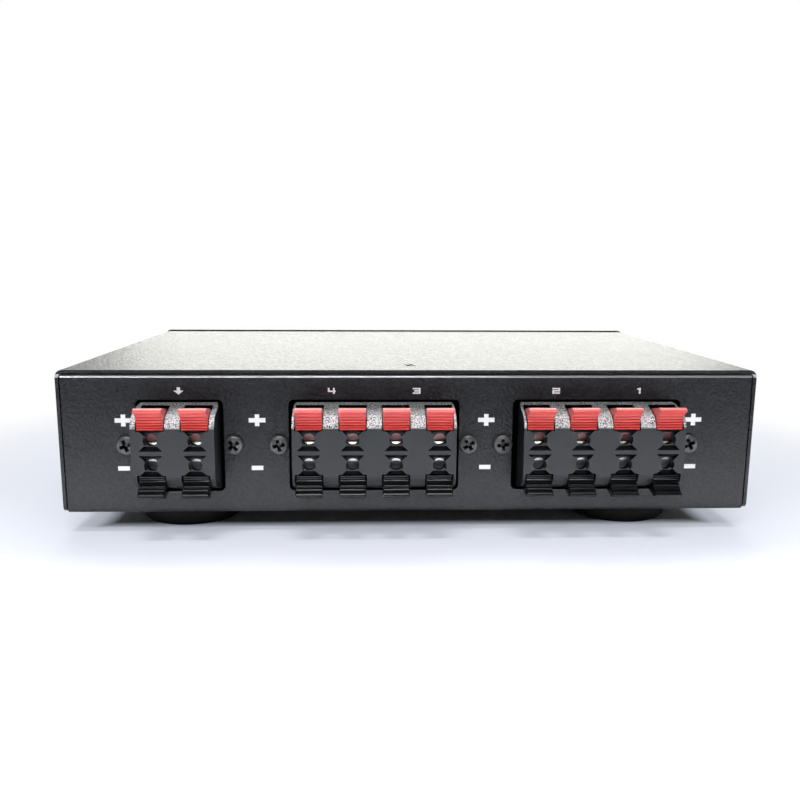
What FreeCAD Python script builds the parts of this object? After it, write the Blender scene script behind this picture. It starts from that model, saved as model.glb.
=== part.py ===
import FreeCAD, Part
import math
import os
import re
import Sketcher

# A four-way speaker selector: a folded steel case with three blocks of push terminals on one
# long side and five push buttons on the other. +X runs along the terminal side to the right of
# someone who faces it, +Y runs from the terminals to the buttons and +Z is up. The origin is
# under the middle of the whole object, on the surface that the feet stand on. Millimetres.

SIZES = {
    # folded case
    "case_width": 210.0,
    "case_depth": 133.0,
    "case_height": 43.8,
    "steel_gauge": 1.0,
    "bend_radius": 0.6,
    "bottom_bend": 0.3,
    "cover_bend": 1.2,
    "cover_corner": 2.0,
    "cover_gap": 0.3,
    "cover_lift": 0.4,
    "panel_recess": 0.2,
    "terminal_flange": 20.0,
    "control_flange": 12.0,
    "side_flange_height": 14.0,
    "side_flange_length": 104.0,
    # screws of the case
    "screw_radius": 1.5,
    "screw_gap": 0.05,
    "hole_gap": 0.2,
    "hole_land": 0.05,
    "screw_point": 0.4,
    "cut_margin": 1.0,
    "cone_radius": 3.15,
    "cone_gap": 0.1,
    "cover_screw_length": 6.0,
    "cover_screw_inset": 12.0,
    "side_screw_spacing": 76.0,
    "side_screw_rise": 7.5,
    # feet
    "foot_height": 7.0,
    "foot_radius": 17.5,
    "foot_draft": 1.5,
    "foot_bevel": 0.8,
    "foot_side_inset": 34.0,
    "foot_inset": 24.5,
    "foot_web": 2.5,
    "foot_recess_radius": 6.0,
    "foot_screw_radius": 2.0,
    "foot_head_radius": 4.0,
    "foot_head_height": 2.4,
    "foot_screw_length": 5.5,
    # terminal blocks
    "pole_pitch": 12.7,
    "input_block_place": -69.15,
    "pair_43_block_place": -11.1,
    "pair_21_block_place": 56.5,
    "block_rise": 20.8,
    "block_reach": 10.0,
    "block_height": 26.4,
    "column_trim": 0.75,
    "block_gap": 0.85,
    "cutout_side_gap": 0.3,
    "cutout_corner": 1.6,
    "plateau_height": 14.0,
    "shoulder_reach": 6.5,
    "shoulder_rise": 11.0,
    "nose_reach": 8.95,
    "nose_rise": 9.35,
    "block_round": 1.0,
    "block_depth": 10.0,
    "flange_thickness": 1.8,
    "flange_margin": 2.4,
    "ear_width": 6.6,
    "ear_screw_inset": 3.2,
    "ear_screw_rise": 0.35,
    "ear_boss_radius": 3.0,
    "ear_boss_length": 5.0,
    "roof_wall": 0.5,
    "front_wall": 3.6,
    "middle_rib": 2.2,
    "lever_side_gap": 0.15,
    "lever_rest_gap": 0.3,
    # wire holes and their funnels
    "wire_hole_radius": 2.0,
    "wire_throat_radius": 1.8,
    "wire_hole_rise": 3.72,
    "funnel_depth": 1.6,
    "funnel_mouth_half": 3.45,
    "funnel_waist_half": 0.2,
    "funnel_base_rise": 0.6,
    # levers
    "lever_width": 8.0,
    "lever_taper": 0.15,
    "lower_lever_trim": 0.8,
    "lever_edge_rise": 6.8,
    "lever_waist_rise": 9.7,
    "lever_waist_reach": 9.3,
    "lever_lip_rise": 12.7,
    "lever_tip_reach": 12.4,
    "lever_lip_slant": 0.3,
    "lever_top_rise": 13.9,
    "lever_back_reach": 5.2,
    "lever_back_rise": 12.6,
    "stem_top_rise": 10.2,
    "tongue_reach": 5.3,
    "tongue_thickness": 1.4,
    "tongue_end_rise": 2.95,
    "lower_catch_drop": 0.55,
    "pivot_depth": 4.0,
    "pivot_rise": 6.8,
    "hub_radius": 1.8,
    "trunnion_radius": 1.0,
    "trunnion_gap": 0.05,
    "trunnion_length": 0.8,
    "grip_depth": 0.25,
    # contacts and lever springs
    "contact_gauge": 0.45,
    "contact_reach": 6.0,
    "contact_width": 3.4,
    "contact_lip": 1.45,
    "contact_lean": 0.7,
    "contact_tail_near": 2.4,
    "contact_tail_far": 5.0,
    "spring_gauge": 0.35,
    "spring_width": 4.0,
    "spring_start": -0.3,
    "spring_length": 6.5,
    "spring_fold": 1.0,
    "spring_seat": 0.7,
    # pan head screws of the terminal blocks, the board and the fascia
    "pan_radius": 3.0,
    "pan_height": 2.1,
    "block_screw_length": 7.0,
    "board_screw_length": 5.0,
    "fascia_screw_length": 3.0,
    # circuit board
    "board_side_gap": 6.7,
    "board_thickness": 1.6,
    "board_block_gap": 0.8,
    "board_panel_gap": 11.5,
    "spacer_height": 12.0,
    "spacer_radius": 3.2,
    "spacer_inset": 3.5,
    "spacer_near_inset": 11.5,
    "spacer_far_inset": 21.0,
    # push buttons and their switches
    "fascia_thickness": 3.0,
    "fascia_overhang": 0.5,
    "fascia_round": 0.8,
    "fascia_corner": 2.0,
    "fascia_screw_inset": 25.0,
    "fascia_screw_rise": 35.0,
    "button_width": 12.0,
    "button_height": 8.0,
    "button_corner": 1.5,
    "button_reach": 9.2,
    "button_gap": 0.35,
    "button_tail": 8.0,
    "button_round": 0.6,
    "button_travel": 3.5,
    "button_pitch": 30.0,
    "button_side_inset": 35.0,
    "switch_width": 14.0,
    "switch_height": 11.0,
    "switch_length": 22.0,
    "switch_inset": 16.0,
    "stem_size": 3.4,
    "stem_socket": 6.0,
    "stem_engagement": 8.0,
    "stem_gap": 0.08,
    # protection resistors
    "resistor_length": 48.0,
    "resistor_size": 9.5,
    "resistor_spacing": 20.0,
    "resistor_place": -30.0,
    "resistor_lead": 1.0,
    "resistor_lead_reach": 4.0,
    "resistor_lift": 1.0,
}
# grip grooves on the lower and the upper stretch of a lever's hollow front
GROOVES = (4, 4)
# a groove's start, floor and end: how far along its share of the stretch, and how deep
GROOVE_PROFILE = ((0.25, 0), (0.5, 1), (0.75, 0))
# corners of a pan head, as shares of its radius and of its height
PAN_PROFILE = ((1, 0), (1, 0.4), (0.8, 0.85), (0.45, 1), (0, 1))
FUNCTIONS = ("sqrt",)
# places closer than this are the same place, and a smaller volume is no volume
SAME_PLACE = 1e-4
NO_VOLUME = 1e-3

# how a copy of a piece built upright is turned
LEVEL = FreeCAD.Rotation()
FACING_TERMINAL_SIDE = FreeCAD.Rotation(FreeCAD.Vector(1, 0, 0), 90)
UPSIDE_DOWN = FreeCAD.Rotation(FreeCAD.Vector(1, 0, 0), 180)
FACING_SIDE = {
    1: FreeCAD.Rotation(FreeCAD.Vector(0, 1, 0), 90),
    -1: FreeCAD.Rotation(FreeCAD.Vector(0, 1, 0), -90),
}

document = FreeCAD.newDocument("speaker_selector_switch")
sheet = document.addObject("Spreadsheet::Sheet", "Sizes")
for row, (name, size) in enumerate(SIZES.items(), 1):
    sheet.set(f"A{row}", name)
    sheet.set(f"B{row}", str(size))
    sheet.setAlias(f"B{row}", name)
document.recompute()

# lengths that follow from the sizes, as formulas of the sheet's names
CASE_TOP = "(foot_height + case_height)"
COVER_UNDERSIDE = f"({CASE_TOP} - steel_gauge)"
FLANGE_TOP = f"({COVER_UNDERSIDE} - cover_gap)"
TERMINAL_FACE = "(-case_depth / 2 + panel_recess)"
CONTROL_FACE = "(case_depth / 2)"
INNER_HALF = "(case_width / 2 - steel_gauge - cover_gap)"
BLOCK_Z = "(foot_height + block_rise)"
EAR_Z = f"({BLOCK_Z} + ear_screw_rise)"
SHEET_HOLE = "(screw_radius + hole_gap)"
CONE_MOUTH = "(cone_radius + cone_gap)"
SIDE_SCREW_Z = "(foot_height + side_screw_rise)"
FOOT_X = "(case_width / 2 - foot_side_inset)"
FOOT_Y = "(case_depth / 2 - foot_inset)"
BOARD_UNDERSIDE = "(foot_height + steel_gauge + spacer_height)"
BOARD_TOP = f"({BOARD_UNDERSIDE} + board_thickness)"
BOARD_HALF = f"({INNER_HALF} - board_side_gap)"
BOARD_START = f"({TERMINAL_FACE} + block_depth + board_block_gap)"
BOARD_END = f"({CONTROL_FACE} - steel_gauge - board_panel_gap)"
BUTTON_Z = f"({BOARD_TOP} + switch_height / 2)"
SWITCH_FRONT = f"({CONTROL_FACE} - switch_inset)"
FASCIA_FRONT = f"({CONTROL_FACE} + fascia_thickness)"
FASCIA_SCREW_Z = "(foot_height + fascia_screw_rise)"
THREAD_HOLE = "(screw_radius + screw_gap)"
SLOT_HALF = "(lever_width / 2 + lever_side_gap)"
SLOT_FLOOR = "(lever_edge_rise - lever_rest_gap)"
ROOM_ROOF = "(block_height / 2 - roof_wall)"
WALL_BACK = "(block_reach - front_wall)"
CAP_BACK = "(switch_inset - button_tail)"


def tied(formula):
    """The formula with each of the sheet's names written as a cell of the sheet."""
    return re.sub(
        r"[a-z][a-z_0-9]*",
        lambda word: word.group() if word.group() in FUNCTIONS else "Sizes." + word.group(),
        str(formula),
    )


def value(formula):
    """What a formula of the sheet's names comes to."""
    return float(sheet.evalExpression(str(formula)))


def minus(formula):
    return f"-({formula})"


def new_body(label):
    """A body in the document whose label names its file."""
    body = document.addObject("PartDesign::Body", label)
    body.Label = label
    return body


def place(piece, x="0", y="0", z="0"):
    """Tie a piece's position to the sheet."""
    for axis, formula in zip("xyz", (x, y, z)):
        piece.setExpression(f"Placement.Base.{axis}", tied(formula))


def new_sketch(body, plane, offset="0"):
    """A sketch on one of the body's origin planes, moved along its normal by the offset."""
    sketch = body.newObject("Sketcher::SketchObject", body.Label + "_sketch")
    support = next(f for f in body.Origin.OriginFeatures if f.Role == plane + "_Plane")
    sketch.AttachmentSupport = (support, [""])
    sketch.MapMode = "FlatFace"
    sketch.setExpression("AttachmentOffset.Base.z", tied(offset))
    return sketch


def hold(sketch, kind, curve, point, formula):
    """Fix a point's distance from the sketch's origin along one direction."""
    number = sketch.addConstraint(Sketcher.Constraint(kind, -1, 1, curve, point, value(formula)))
    sketch.setExpression(f"Constraints[{number}]", tied(formula))


def outline(sketch, corners, bulges=None):
    """A closed outline through corners given as formulas. A bulge turns the edge that starts at
    its corner into an arc through a third point."""
    bulges = bulges or {}
    points = [FreeCAD.Vector(value(u), value(v), 0) for u, v in corners]
    first = sketch.GeometryCount
    count = len(points)
    for i, start in enumerate(points):
        end = points[(i + 1) % count]
        if i in bulges:
            middle = FreeCAD.Vector(value(bulges[i][0]), value(bulges[i][1]), 0)
            sketch.addGeometry(Part.Arc(start, middle, end), False)
        else:
            sketch.addGeometry(Part.LineSegment(start, end), False)
    # an arc always runs anticlockwise, so the end of it that lies on its corner is found
    ends = []
    for i, start in enumerate(points):
        starts_here = (sketch.getPoint(first + i, 1) - start).Length < SAME_PLACE
        ends.append((1, 2) if starts_here else (2, 1))
    for i in range(count):
        after = (i + 1) % count
        join = (first + i, ends[i][1], first + after, ends[after][0])
        sketch.addConstraint(Sketcher.Constraint("Coincident", *join))
    for i, (u, v) in enumerate(corners):
        hold(sketch, "DistanceX", first + i, ends[i][0], u)
        hold(sketch, "DistanceY", first + i, ends[i][0], v)
    for i, (u, v) in bulges.items():
        after = corners[(i + 1) % count]
        radius = arc_radius(corners[i], (u, v), after)
        number = sketch.addConstraint(Sketcher.Constraint("Radius", first + i, value(radius)))
        sketch.setExpression(f"Constraints[{number}]", tied(radius))


def arc_radius(start, middle, end):
    """The radius of the arc through three points, as a formula."""
    half = f"(sqrt(({end[0]} - {start[0]})^2 + ({end[1]} - {start[1]})^2) / 2)"
    rise = (
        f"sqrt((({start[0]} + {end[0]}) / 2 - {middle[0]})^2"
        f" + (({start[1]} + {end[1]}) / 2 - {middle[1]})^2)"
    )
    return f"(({half}^2 + ({rise})^2) / (2 * {rise}))"


def rectangle(sketch, left, right, low, high):
    outline(sketch, [(left, low), (right, low), (right, high), (left, high)])


def rounded_rectangle(sketch, middle_u, middle_v, width, height, radius):
    """A rectangle whose four corners are tangent arcs."""
    first = sketch.GeometryCount
    r = value(radius)
    centres = []
    for side_u, side_v in ((-1, -1), (1, -1), (1, 1), (-1, 1)):
        u = f"({middle_u} + ({side_u}) * ({width} / 2 - {radius}))"
        v = f"({middle_v} + ({side_v}) * ({height} / 2 - {radius}))"
        centres.append((u, v))
    for i, (u, v) in enumerate(centres):
        centre = FreeCAD.Vector(value(u), value(v), 0)
        circle = Part.Circle(centre, FreeCAD.Vector(0, 0, 1), r)
        start = math.pi + i * math.pi / 2
        sketch.addGeometry(Part.ArcOfCircle(circle, start, start + math.pi / 2), False)
    for i in range(4):
        start = sketch.getPoint(first + i, 2)
        end = sketch.getPoint(first + (i + 1) % 4, 1)
        sketch.addGeometry(Part.LineSegment(start, end), False)
    for i in range(4):
        line = first + 4 + i
        sketch.addConstraint(Sketcher.Constraint("Tangent", first + i, 2, line, 1))
        sketch.addConstraint(Sketcher.Constraint("Tangent", line, 2, first + (i + 1) % 4, 1))
    for i, (u, v) in enumerate(centres):
        hold(sketch, "DistanceX", first + i, 3, u)
        hold(sketch, "DistanceY", first + i, 3, v)
        number = sketch.addConstraint(Sketcher.Constraint("Radius", first + i, r))
        sketch.setExpression(f"Constraints[{number}]", tied(radius))


def circle(sketch, u, v, radius):
    centre = FreeCAD.Vector(value(u), value(v), 0)
    shape = Part.Circle(centre, FreeCAD.Vector(0, 0, 1), value(radius))
    curve = sketch.addGeometry(shape, False)
    hold(sketch, "DistanceX", curve, 3, u)
    hold(sketch, "DistanceY", curve, 3, v)
    number = sketch.addConstraint(Sketcher.Constraint("Radius", curve, value(radius)))
    sketch.setExpression(f"Constraints[{number}]", tied(radius))


def extrude(body, kind, sketch, length, symmetric=False, reverse=False, slope=None):
    """A Pad or a Pocket of a sketch, which must change the body's volume the way it should."""
    before = body.Shape.Volume if body.Tip else 0.0
    feature = body.newObject("PartDesign::" + kind, f"{body.Label}_{kind}".lower())
    feature.Profile = sketch
    feature.SideType = "Symmetric" if symmetric else "One side"
    feature.Reversed = reverse
    feature.setExpression("Length", tied(length))
    if slope:
        feature.setExpression("TaperAngle", tied(slope))
    document.recompute()
    grew = body.Shape.Volume - before
    if feature.State != ["Up-to-date"] or (grew <= 0) == (kind == "Pad") or abs(grew) < NO_VOLUME:
        raise RuntimeError(f"{body.Label}: a {kind} changed nothing")
    return feature


def pad(body, sketch, length, **options):
    return extrude(body, "Pad", sketch, length, **options)


def pocket(body, sketch, length, **options):
    return extrude(body, "Pocket", sketch, length, **options)


def revolve(body, sketch):
    """Turn a half profile in the XZ plane once round the Z axis."""
    feature = body.newObject("PartDesign::Revolution", body.Label + "_revolution")
    feature.Profile = sketch
    feature.ReferenceAxis = (sketch, ["V_Axis"])
    feature.Angle = 360
    document.recompute()
    return feature


def dress(body, kind, size, choose):
    """A Fillet or a Chamfer of the edges that a test of their middle point chooses."""
    names = []
    for number, edge in enumerate(body.Shape.Edges, 1):
        middle = edge.valueAt((edge.FirstParameter + edge.LastParameter) / 2)
        if choose(edge, middle):
            names.append(f"Edge{number}")
    if not names:
        raise RuntimeError(f"{body.Label}: no edge to dress")
    base = body.Tip
    feature = body.newObject("PartDesign::" + kind, f"{body.Label}_{kind}".lower())
    feature.Base = (base, names)
    feature.setExpression("Radius" if kind == "Fillet" else "Size", tied(size))
    document.recompute()
    if feature.State != ["Up-to-date"]:
        raise RuntimeError(f"{body.Label}: {kind} failed")
    return feature


def near(a, b):
    return abs(a - b) < SAME_PLACE


def among(a, options):
    return any(near(a, b) for b in options)


def is_circle(edge, radius):
    return isinstance(edge.Curve, Part.Circle) and near(edge.Curve.Radius, radius)


def on_skin(edge, outside, top):
    """Whether a circle lies on the plane of a side's outer face or of the top."""
    centre = edge.Curve.Center
    return near(abs(centre.x), outside) or near(centre.z, top)


def copy(label, master, x, y, z, turn=LEVEL):
    """A copy of a piece at a place tied to the sheet."""
    link = document.addObject("App::Link", label)
    link.Label = label
    link.LinkedObject = master
    link.Placement = FreeCAD.Placement(FreeCAD.Vector(), turn)
    place(link, x, y, z)
    return link


def group(label, links):
    """One node made of several copies."""
    node = document.addObject("Part::Compound", label)
    node.Label = label
    node.Links = links
    return node


# each block's place along the panel and its number of columns
BLOCKS = {
    "input": ("input_block_place", 2),
    "4_3": ("pair_43_block_place", 4),
    "2_1": ("pair_21_block_place", 4),
}
COLUMN_NAMES = {
    "input": ["input_left", "input_right"],
    "4_3": ["4_left", "4_right", "3_left", "3_right"],
    "2_1": ["2_left", "2_right", "1_left", "1_right"],
}
BUTTON_NAMES = ["speaker_1", "speaker_2", "speaker_3", "speaker_4", "protection"]


def column_place(column, columns):
    """A column's place from the middle of its block."""
    return f"(({column} - ({columns} - 1) / 2) * pole_pitch)"


def block_half(columns):
    """Half the width of a block, which is less than the pitch by the trim for each column."""
    return f"({columns} * (pole_pitch - column_trim) / 2)"


def ear_screw_place(columns):
    return f"({columns} * pole_pitch / 2 + ear_screw_inset)"


def button_place(number):
    """The speaker buttons stand in a row, and the protection button stands apart."""
    if number == len(BUTTON_NAMES) - 1:
        return "(button_side_inset - case_width / 2)"
    return f"(case_width / 2 - button_side_inset - {number} * button_pitch)"


TOP_SCREW_Y = "(cover_screw_inset - case_depth / 2)"
FOOT_PLACES = [(f"({x} * {FOOT_X})", f"({y} * {FOOT_Y})") for y in (-1, 1) for x in (-1, 1)]
FOOT_NAMES = ["terminal_side_left", "terminal_side_right", "button_side_left", "button_side_right"]
SPACER_PLACES = [
    (f"({side} * ({BOARD_HALF} - spacer_inset))", y)
    for y in (f"({BOARD_START} + spacer_near_inset)", f"({BOARD_END} - spacer_far_inset)")
    for side in (-1, 1)
]
FASCIA_SCREW_PLACES = [f"({side} * (case_width / 2 - fascia_screw_inset))" for side in (-1, 1)]


def base_chassis():
    """The bottom, the terminal panel and the control panel, folded from one sheet."""
    body = new_body("base_chassis")
    inner_top = f"({FLANGE_TOP} - steel_gauge)"
    floor_top = "(foot_height + steel_gauge)"
    panel_back = f"({TERMINAL_FACE} + steel_gauge)"
    control_back = f"({CONTROL_FACE} - steel_gauge)"
    sketch = new_sketch(body, "YZ")
    outline(
        sketch,
        [
            (TERMINAL_FACE, "foot_height"),
            (CONTROL_FACE, "foot_height"),
            (CONTROL_FACE, FLANGE_TOP),
            (f"({CONTROL_FACE} - control_flange)", FLANGE_TOP),
            (f"({CONTROL_FACE} - control_flange)", inner_top),
            (control_back, inner_top),
            (control_back, floor_top),
            (panel_back, floor_top),
            (panel_back, inner_top),
            (f"({TERMINAL_FACE} + terminal_flange)", inner_top),
            (f"({TERMINAL_FACE} + terminal_flange)", FLANGE_TOP),
            (TERMINAL_FACE, FLANGE_TOP),
        ],
    )
    pad(body, sketch, f"2 * {INNER_HALF}", symmetric=True)
    outside = (TERMINAL_FACE, CONTROL_FACE)
    inside = (panel_back, control_back)
    bends = (
        ("(bottom_bend + steel_gauge)", outside, "foot_height"),
        ("bottom_bend", inside, floor_top),
        ("(bend_radius + steel_gauge)", outside, FLANGE_TOP),
        ("bend_radius", inside, inner_top),
    )
    for radius, across, up in bends:
        ys = [value(y) for y in across]
        height = value(up)
        dress(
            body,
            "Fillet",
            radius,
            lambda edge, at: near(at.x, 0) and among(at.y, ys) and near(at.z, height),
        )
    # side flanges take the cover's side screws
    for side in (-1, 1):
        sketch = new_sketch(body, "YZ", f"{side} * {INNER_HALF}")
        half = "(side_flange_length / 2)"
        rectangle(sketch, minus(half), half, "foot_height", "(foot_height + side_flange_height)")
        pad(body, sketch, "steel_gauge", reverse=side > 0)
    # openings for the terminal blocks, a little larger than the blocks all round
    sketch = new_sketch(body, "XZ", f"cut_margin - {TERMINAL_FACE}")
    for block_place, columns in BLOCKS.values():
        width = f"({columns} * pole_pitch + 2 * cutout_side_gap)"
        height = "(block_height + 2 * block_gap)"
        rounded_rectangle(sketch, block_place, BLOCK_Z, width, height, "cutout_corner")
        for side in (-1, 1):
            circle(sketch, f"({block_place} + {side} * {ear_screw_place(columns)})", EAR_Z, SHEET_HOLE)
    pocket(body, sketch, "steel_gauge + 2 * cut_margin")
    # windows for the buttons and holes for the fascia's screws
    sketch = new_sketch(body, "XZ", f"cut_margin - {control_back}")
    for number in range(len(BUTTON_NAMES)):
        rectangle(
            sketch,
            f"({button_place(number)} - button_width / 2 - 2 * button_gap)",
            f"({button_place(number)} + button_width / 2 + 2 * button_gap)",
            f"({BUTTON_Z} - button_height / 2 - 2 * button_gap)",
            f"({BUTTON_Z} + button_height / 2 + 2 * button_gap)",
        )
    for x in FASCIA_SCREW_PLACES:
        circle(sketch, x, FASCIA_SCREW_Z, SHEET_HOLE)
    pocket(body, sketch, "steel_gauge + 2 * cut_margin")
    # holes in the bottom for the feet and the spacers
    sketch = new_sketch(body, "XY", f"{floor_top} + cut_margin")
    for x, y in FOOT_PLACES:
        circle(sketch, x, y, "foot_screw_radius + screw_gap")
    for x, y in SPACER_PLACES:
        circle(sketch, x, y, SHEET_HOLE)
    pocket(body, sketch, "steel_gauge + 2 * cut_margin")
    # the cover's screws go into countersunk holes in the flanges
    sketch = new_sketch(body, "XY", f"{FLANGE_TOP} + cut_margin")
    circle(sketch, "0", TOP_SCREW_Y, THREAD_HOLE)
    pocket(body, sketch, "steel_gauge + 2 * cut_margin")
    sketch = new_sketch(body, "YZ")
    for side in (-1, 1):
        circle(sketch, f"({side} * side_screw_spacing / 2)", SIDE_SCREW_Z, THREAD_HOLE)
    pocket(body, sketch, f"2 * {INNER_HALF} + 2 * cut_margin", symmetric=True)
    thread = value(THREAD_HOLE)
    outside = value(INNER_HALF)
    top = value(FLANGE_TOP)
    cone = f"({CONE_MOUTH} - steel_gauge - cover_gap - {THREAD_HOLE})"
    dress(body, "Chamfer", cone, lambda edge, at: is_circle(edge, thread) and on_skin(edge, outside, top))
    return body


def top_cover():
    """The lid: the top and both sides, folded from one sheet."""
    body = new_body("top_cover")
    half = "(case_width / 2)"
    inner = f"({half} - steel_gauge)"
    low = "(foot_height + cover_lift)"
    sketch = new_sketch(body, "XZ", "case_depth / 2")
    outline(
        sketch,
        [
            (minus(half), low),
            (minus(half), CASE_TOP),
            (half, CASE_TOP),
            (half, low),
            (inner, low),
            (inner, COVER_UNDERSIDE),
            (minus(inner), COVER_UNDERSIDE),
            (minus(inner), low),
        ],
    )
    pad(body, sketch, "case_depth - panel_recess", reverse=True)
    bends = (("cover_bend + steel_gauge", half, CASE_TOP), ("cover_bend", inner, COVER_UNDERSIDE))
    for radius, x, z in bends:
        corner_x, corner_z = value(x), value(z)
        dress(body, "Fillet", radius, lambda edge, at: near(abs(at.x), corner_x) and near(at.z, corner_z))
    lowest = value(low)
    middle_of_side = value(f"({half} - steel_gauge / 2)")
    dress(
        body,
        "Fillet",
        "cover_corner",
        lambda edge, at: near(at.z, lowest) and near(abs(at.x), middle_of_side),
    )
    # countersunk holes for one screw in the top and two in each side
    sink = "(steel_gauge - hole_land)"
    throat = f"({CONE_MOUTH} - {sink})"
    sketch = new_sketch(body, "XY", f"{CASE_TOP} + cut_margin")
    circle(sketch, "0", TOP_SCREW_Y, throat)
    pocket(body, sketch, "steel_gauge + 2 * cut_margin")
    sketch = new_sketch(body, "YZ")
    for side in (-1, 1):
        circle(sketch, f"({side} * side_screw_spacing / 2)", SIDE_SCREW_Z, throat)
    pocket(body, sketch, "case_width + 2 * cut_margin", symmetric=True)
    bore = value(throat)
    outside = value(half)
    top = value(CASE_TOP)
    dress(body, "Chamfer", sink, lambda edge, at: is_circle(edge, bore) and on_skin(edge, outside, top))
    return body


def cone_screw(label, length):
    """A countersunk screw, point down, with the flat top of its head at Z = 0."""
    body = new_body(label)
    sketch = new_sketch(body, "XZ")
    outline(
        sketch,
        [
            ("0", minus(length)),
            ("(screw_radius - screw_point)", minus(length)),
            ("screw_radius", f"(screw_point - {length})"),
            ("screw_radius", "(screw_radius - cone_radius)"),
            ("cone_radius", "0"),
            ("0", "0"),
        ],
    )
    revolve(body, sketch)
    return body


def pan_screw(label, length, shank="screw_radius", head="pan_radius", height="pan_height"):
    """A pan head screw, point down, with the underside of its head at Z = 0."""
    body = new_body(label)
    sketch = new_sketch(body, "XZ")
    outline(
        sketch,
        [
            ("0", minus(length)),
            (f"({shank} - screw_point)", minus(length)),
            (shank, f"(screw_point - {length})"),
            (shank, "0"),
        ]
        + [(f"({head} * {out})", f"({height} * {up})") for out, up in PAN_PROFILE],
    )
    revolve(body, sketch)
    return body


def front_fascia():
    """The thick plate in front of the control panel, with a window for each button."""
    body = new_body("front_fascia")
    low = "(foot_height - fascia_overhang)"
    high = f"({CASE_TOP} + fascia_overhang)"
    middle = f"(({low} + {high}) / 2)"
    sketch = new_sketch(body, "XZ", minus(FASCIA_FRONT))
    rounded_rectangle(sketch, "0", middle, "case_width", f"({high} - {low})", "fascia_corner")
    for number in range(len(BUTTON_NAMES)):
        rounded_rectangle(
            sketch,
            button_place(number),
            BUTTON_Z,
            "(button_width + 2 * button_gap)",
            "(button_height + 2 * button_gap)",
            "(button_corner + button_gap)",
        )
    pad(body, sketch, "fascia_thickness")
    front = value(FASCIA_FRONT)
    outer = value("case_width / 2")
    lowest, highest = value(low), value(high)
    dress(
        body,
        "Fillet",
        "fascia_round",
        lambda edge, at: near(at.y, front)
        and (near(abs(at.x), outer) or near(at.z, lowest) or near(at.z, highest)),
    )
    sketch = new_sketch(body, "XZ", minus(CONTROL_FACE))
    for x in FASCIA_SCREW_PLACES:
        circle(sketch, x, FASCIA_SCREW_Z, THREAD_HOLE)
    pocket(body, sketch, "(fascia_screw_length - steel_gauge + screw_gap)")
    return body


def rubber_foot(label):
    """A round rubber foot with a deep recess for its screw, standing on Z = 0."""
    body = new_body(label)
    low = "(foot_radius - foot_draft)"
    sketch = new_sketch(body, "XZ")
    outline(
        sketch,
        [
            ("(foot_screw_radius + screw_gap)", "foot_height"),
            ("(foot_screw_radius + screw_gap)", "(foot_height - foot_web)"),
            ("foot_recess_radius", "(foot_height - foot_web)"),
            ("foot_recess_radius", "0"),
            (f"({low} - foot_bevel)", "0"),
            (low, "foot_bevel"),
            ("foot_radius", "foot_height"),
        ],
    )
    revolve(body, sketch)
    return body


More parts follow.
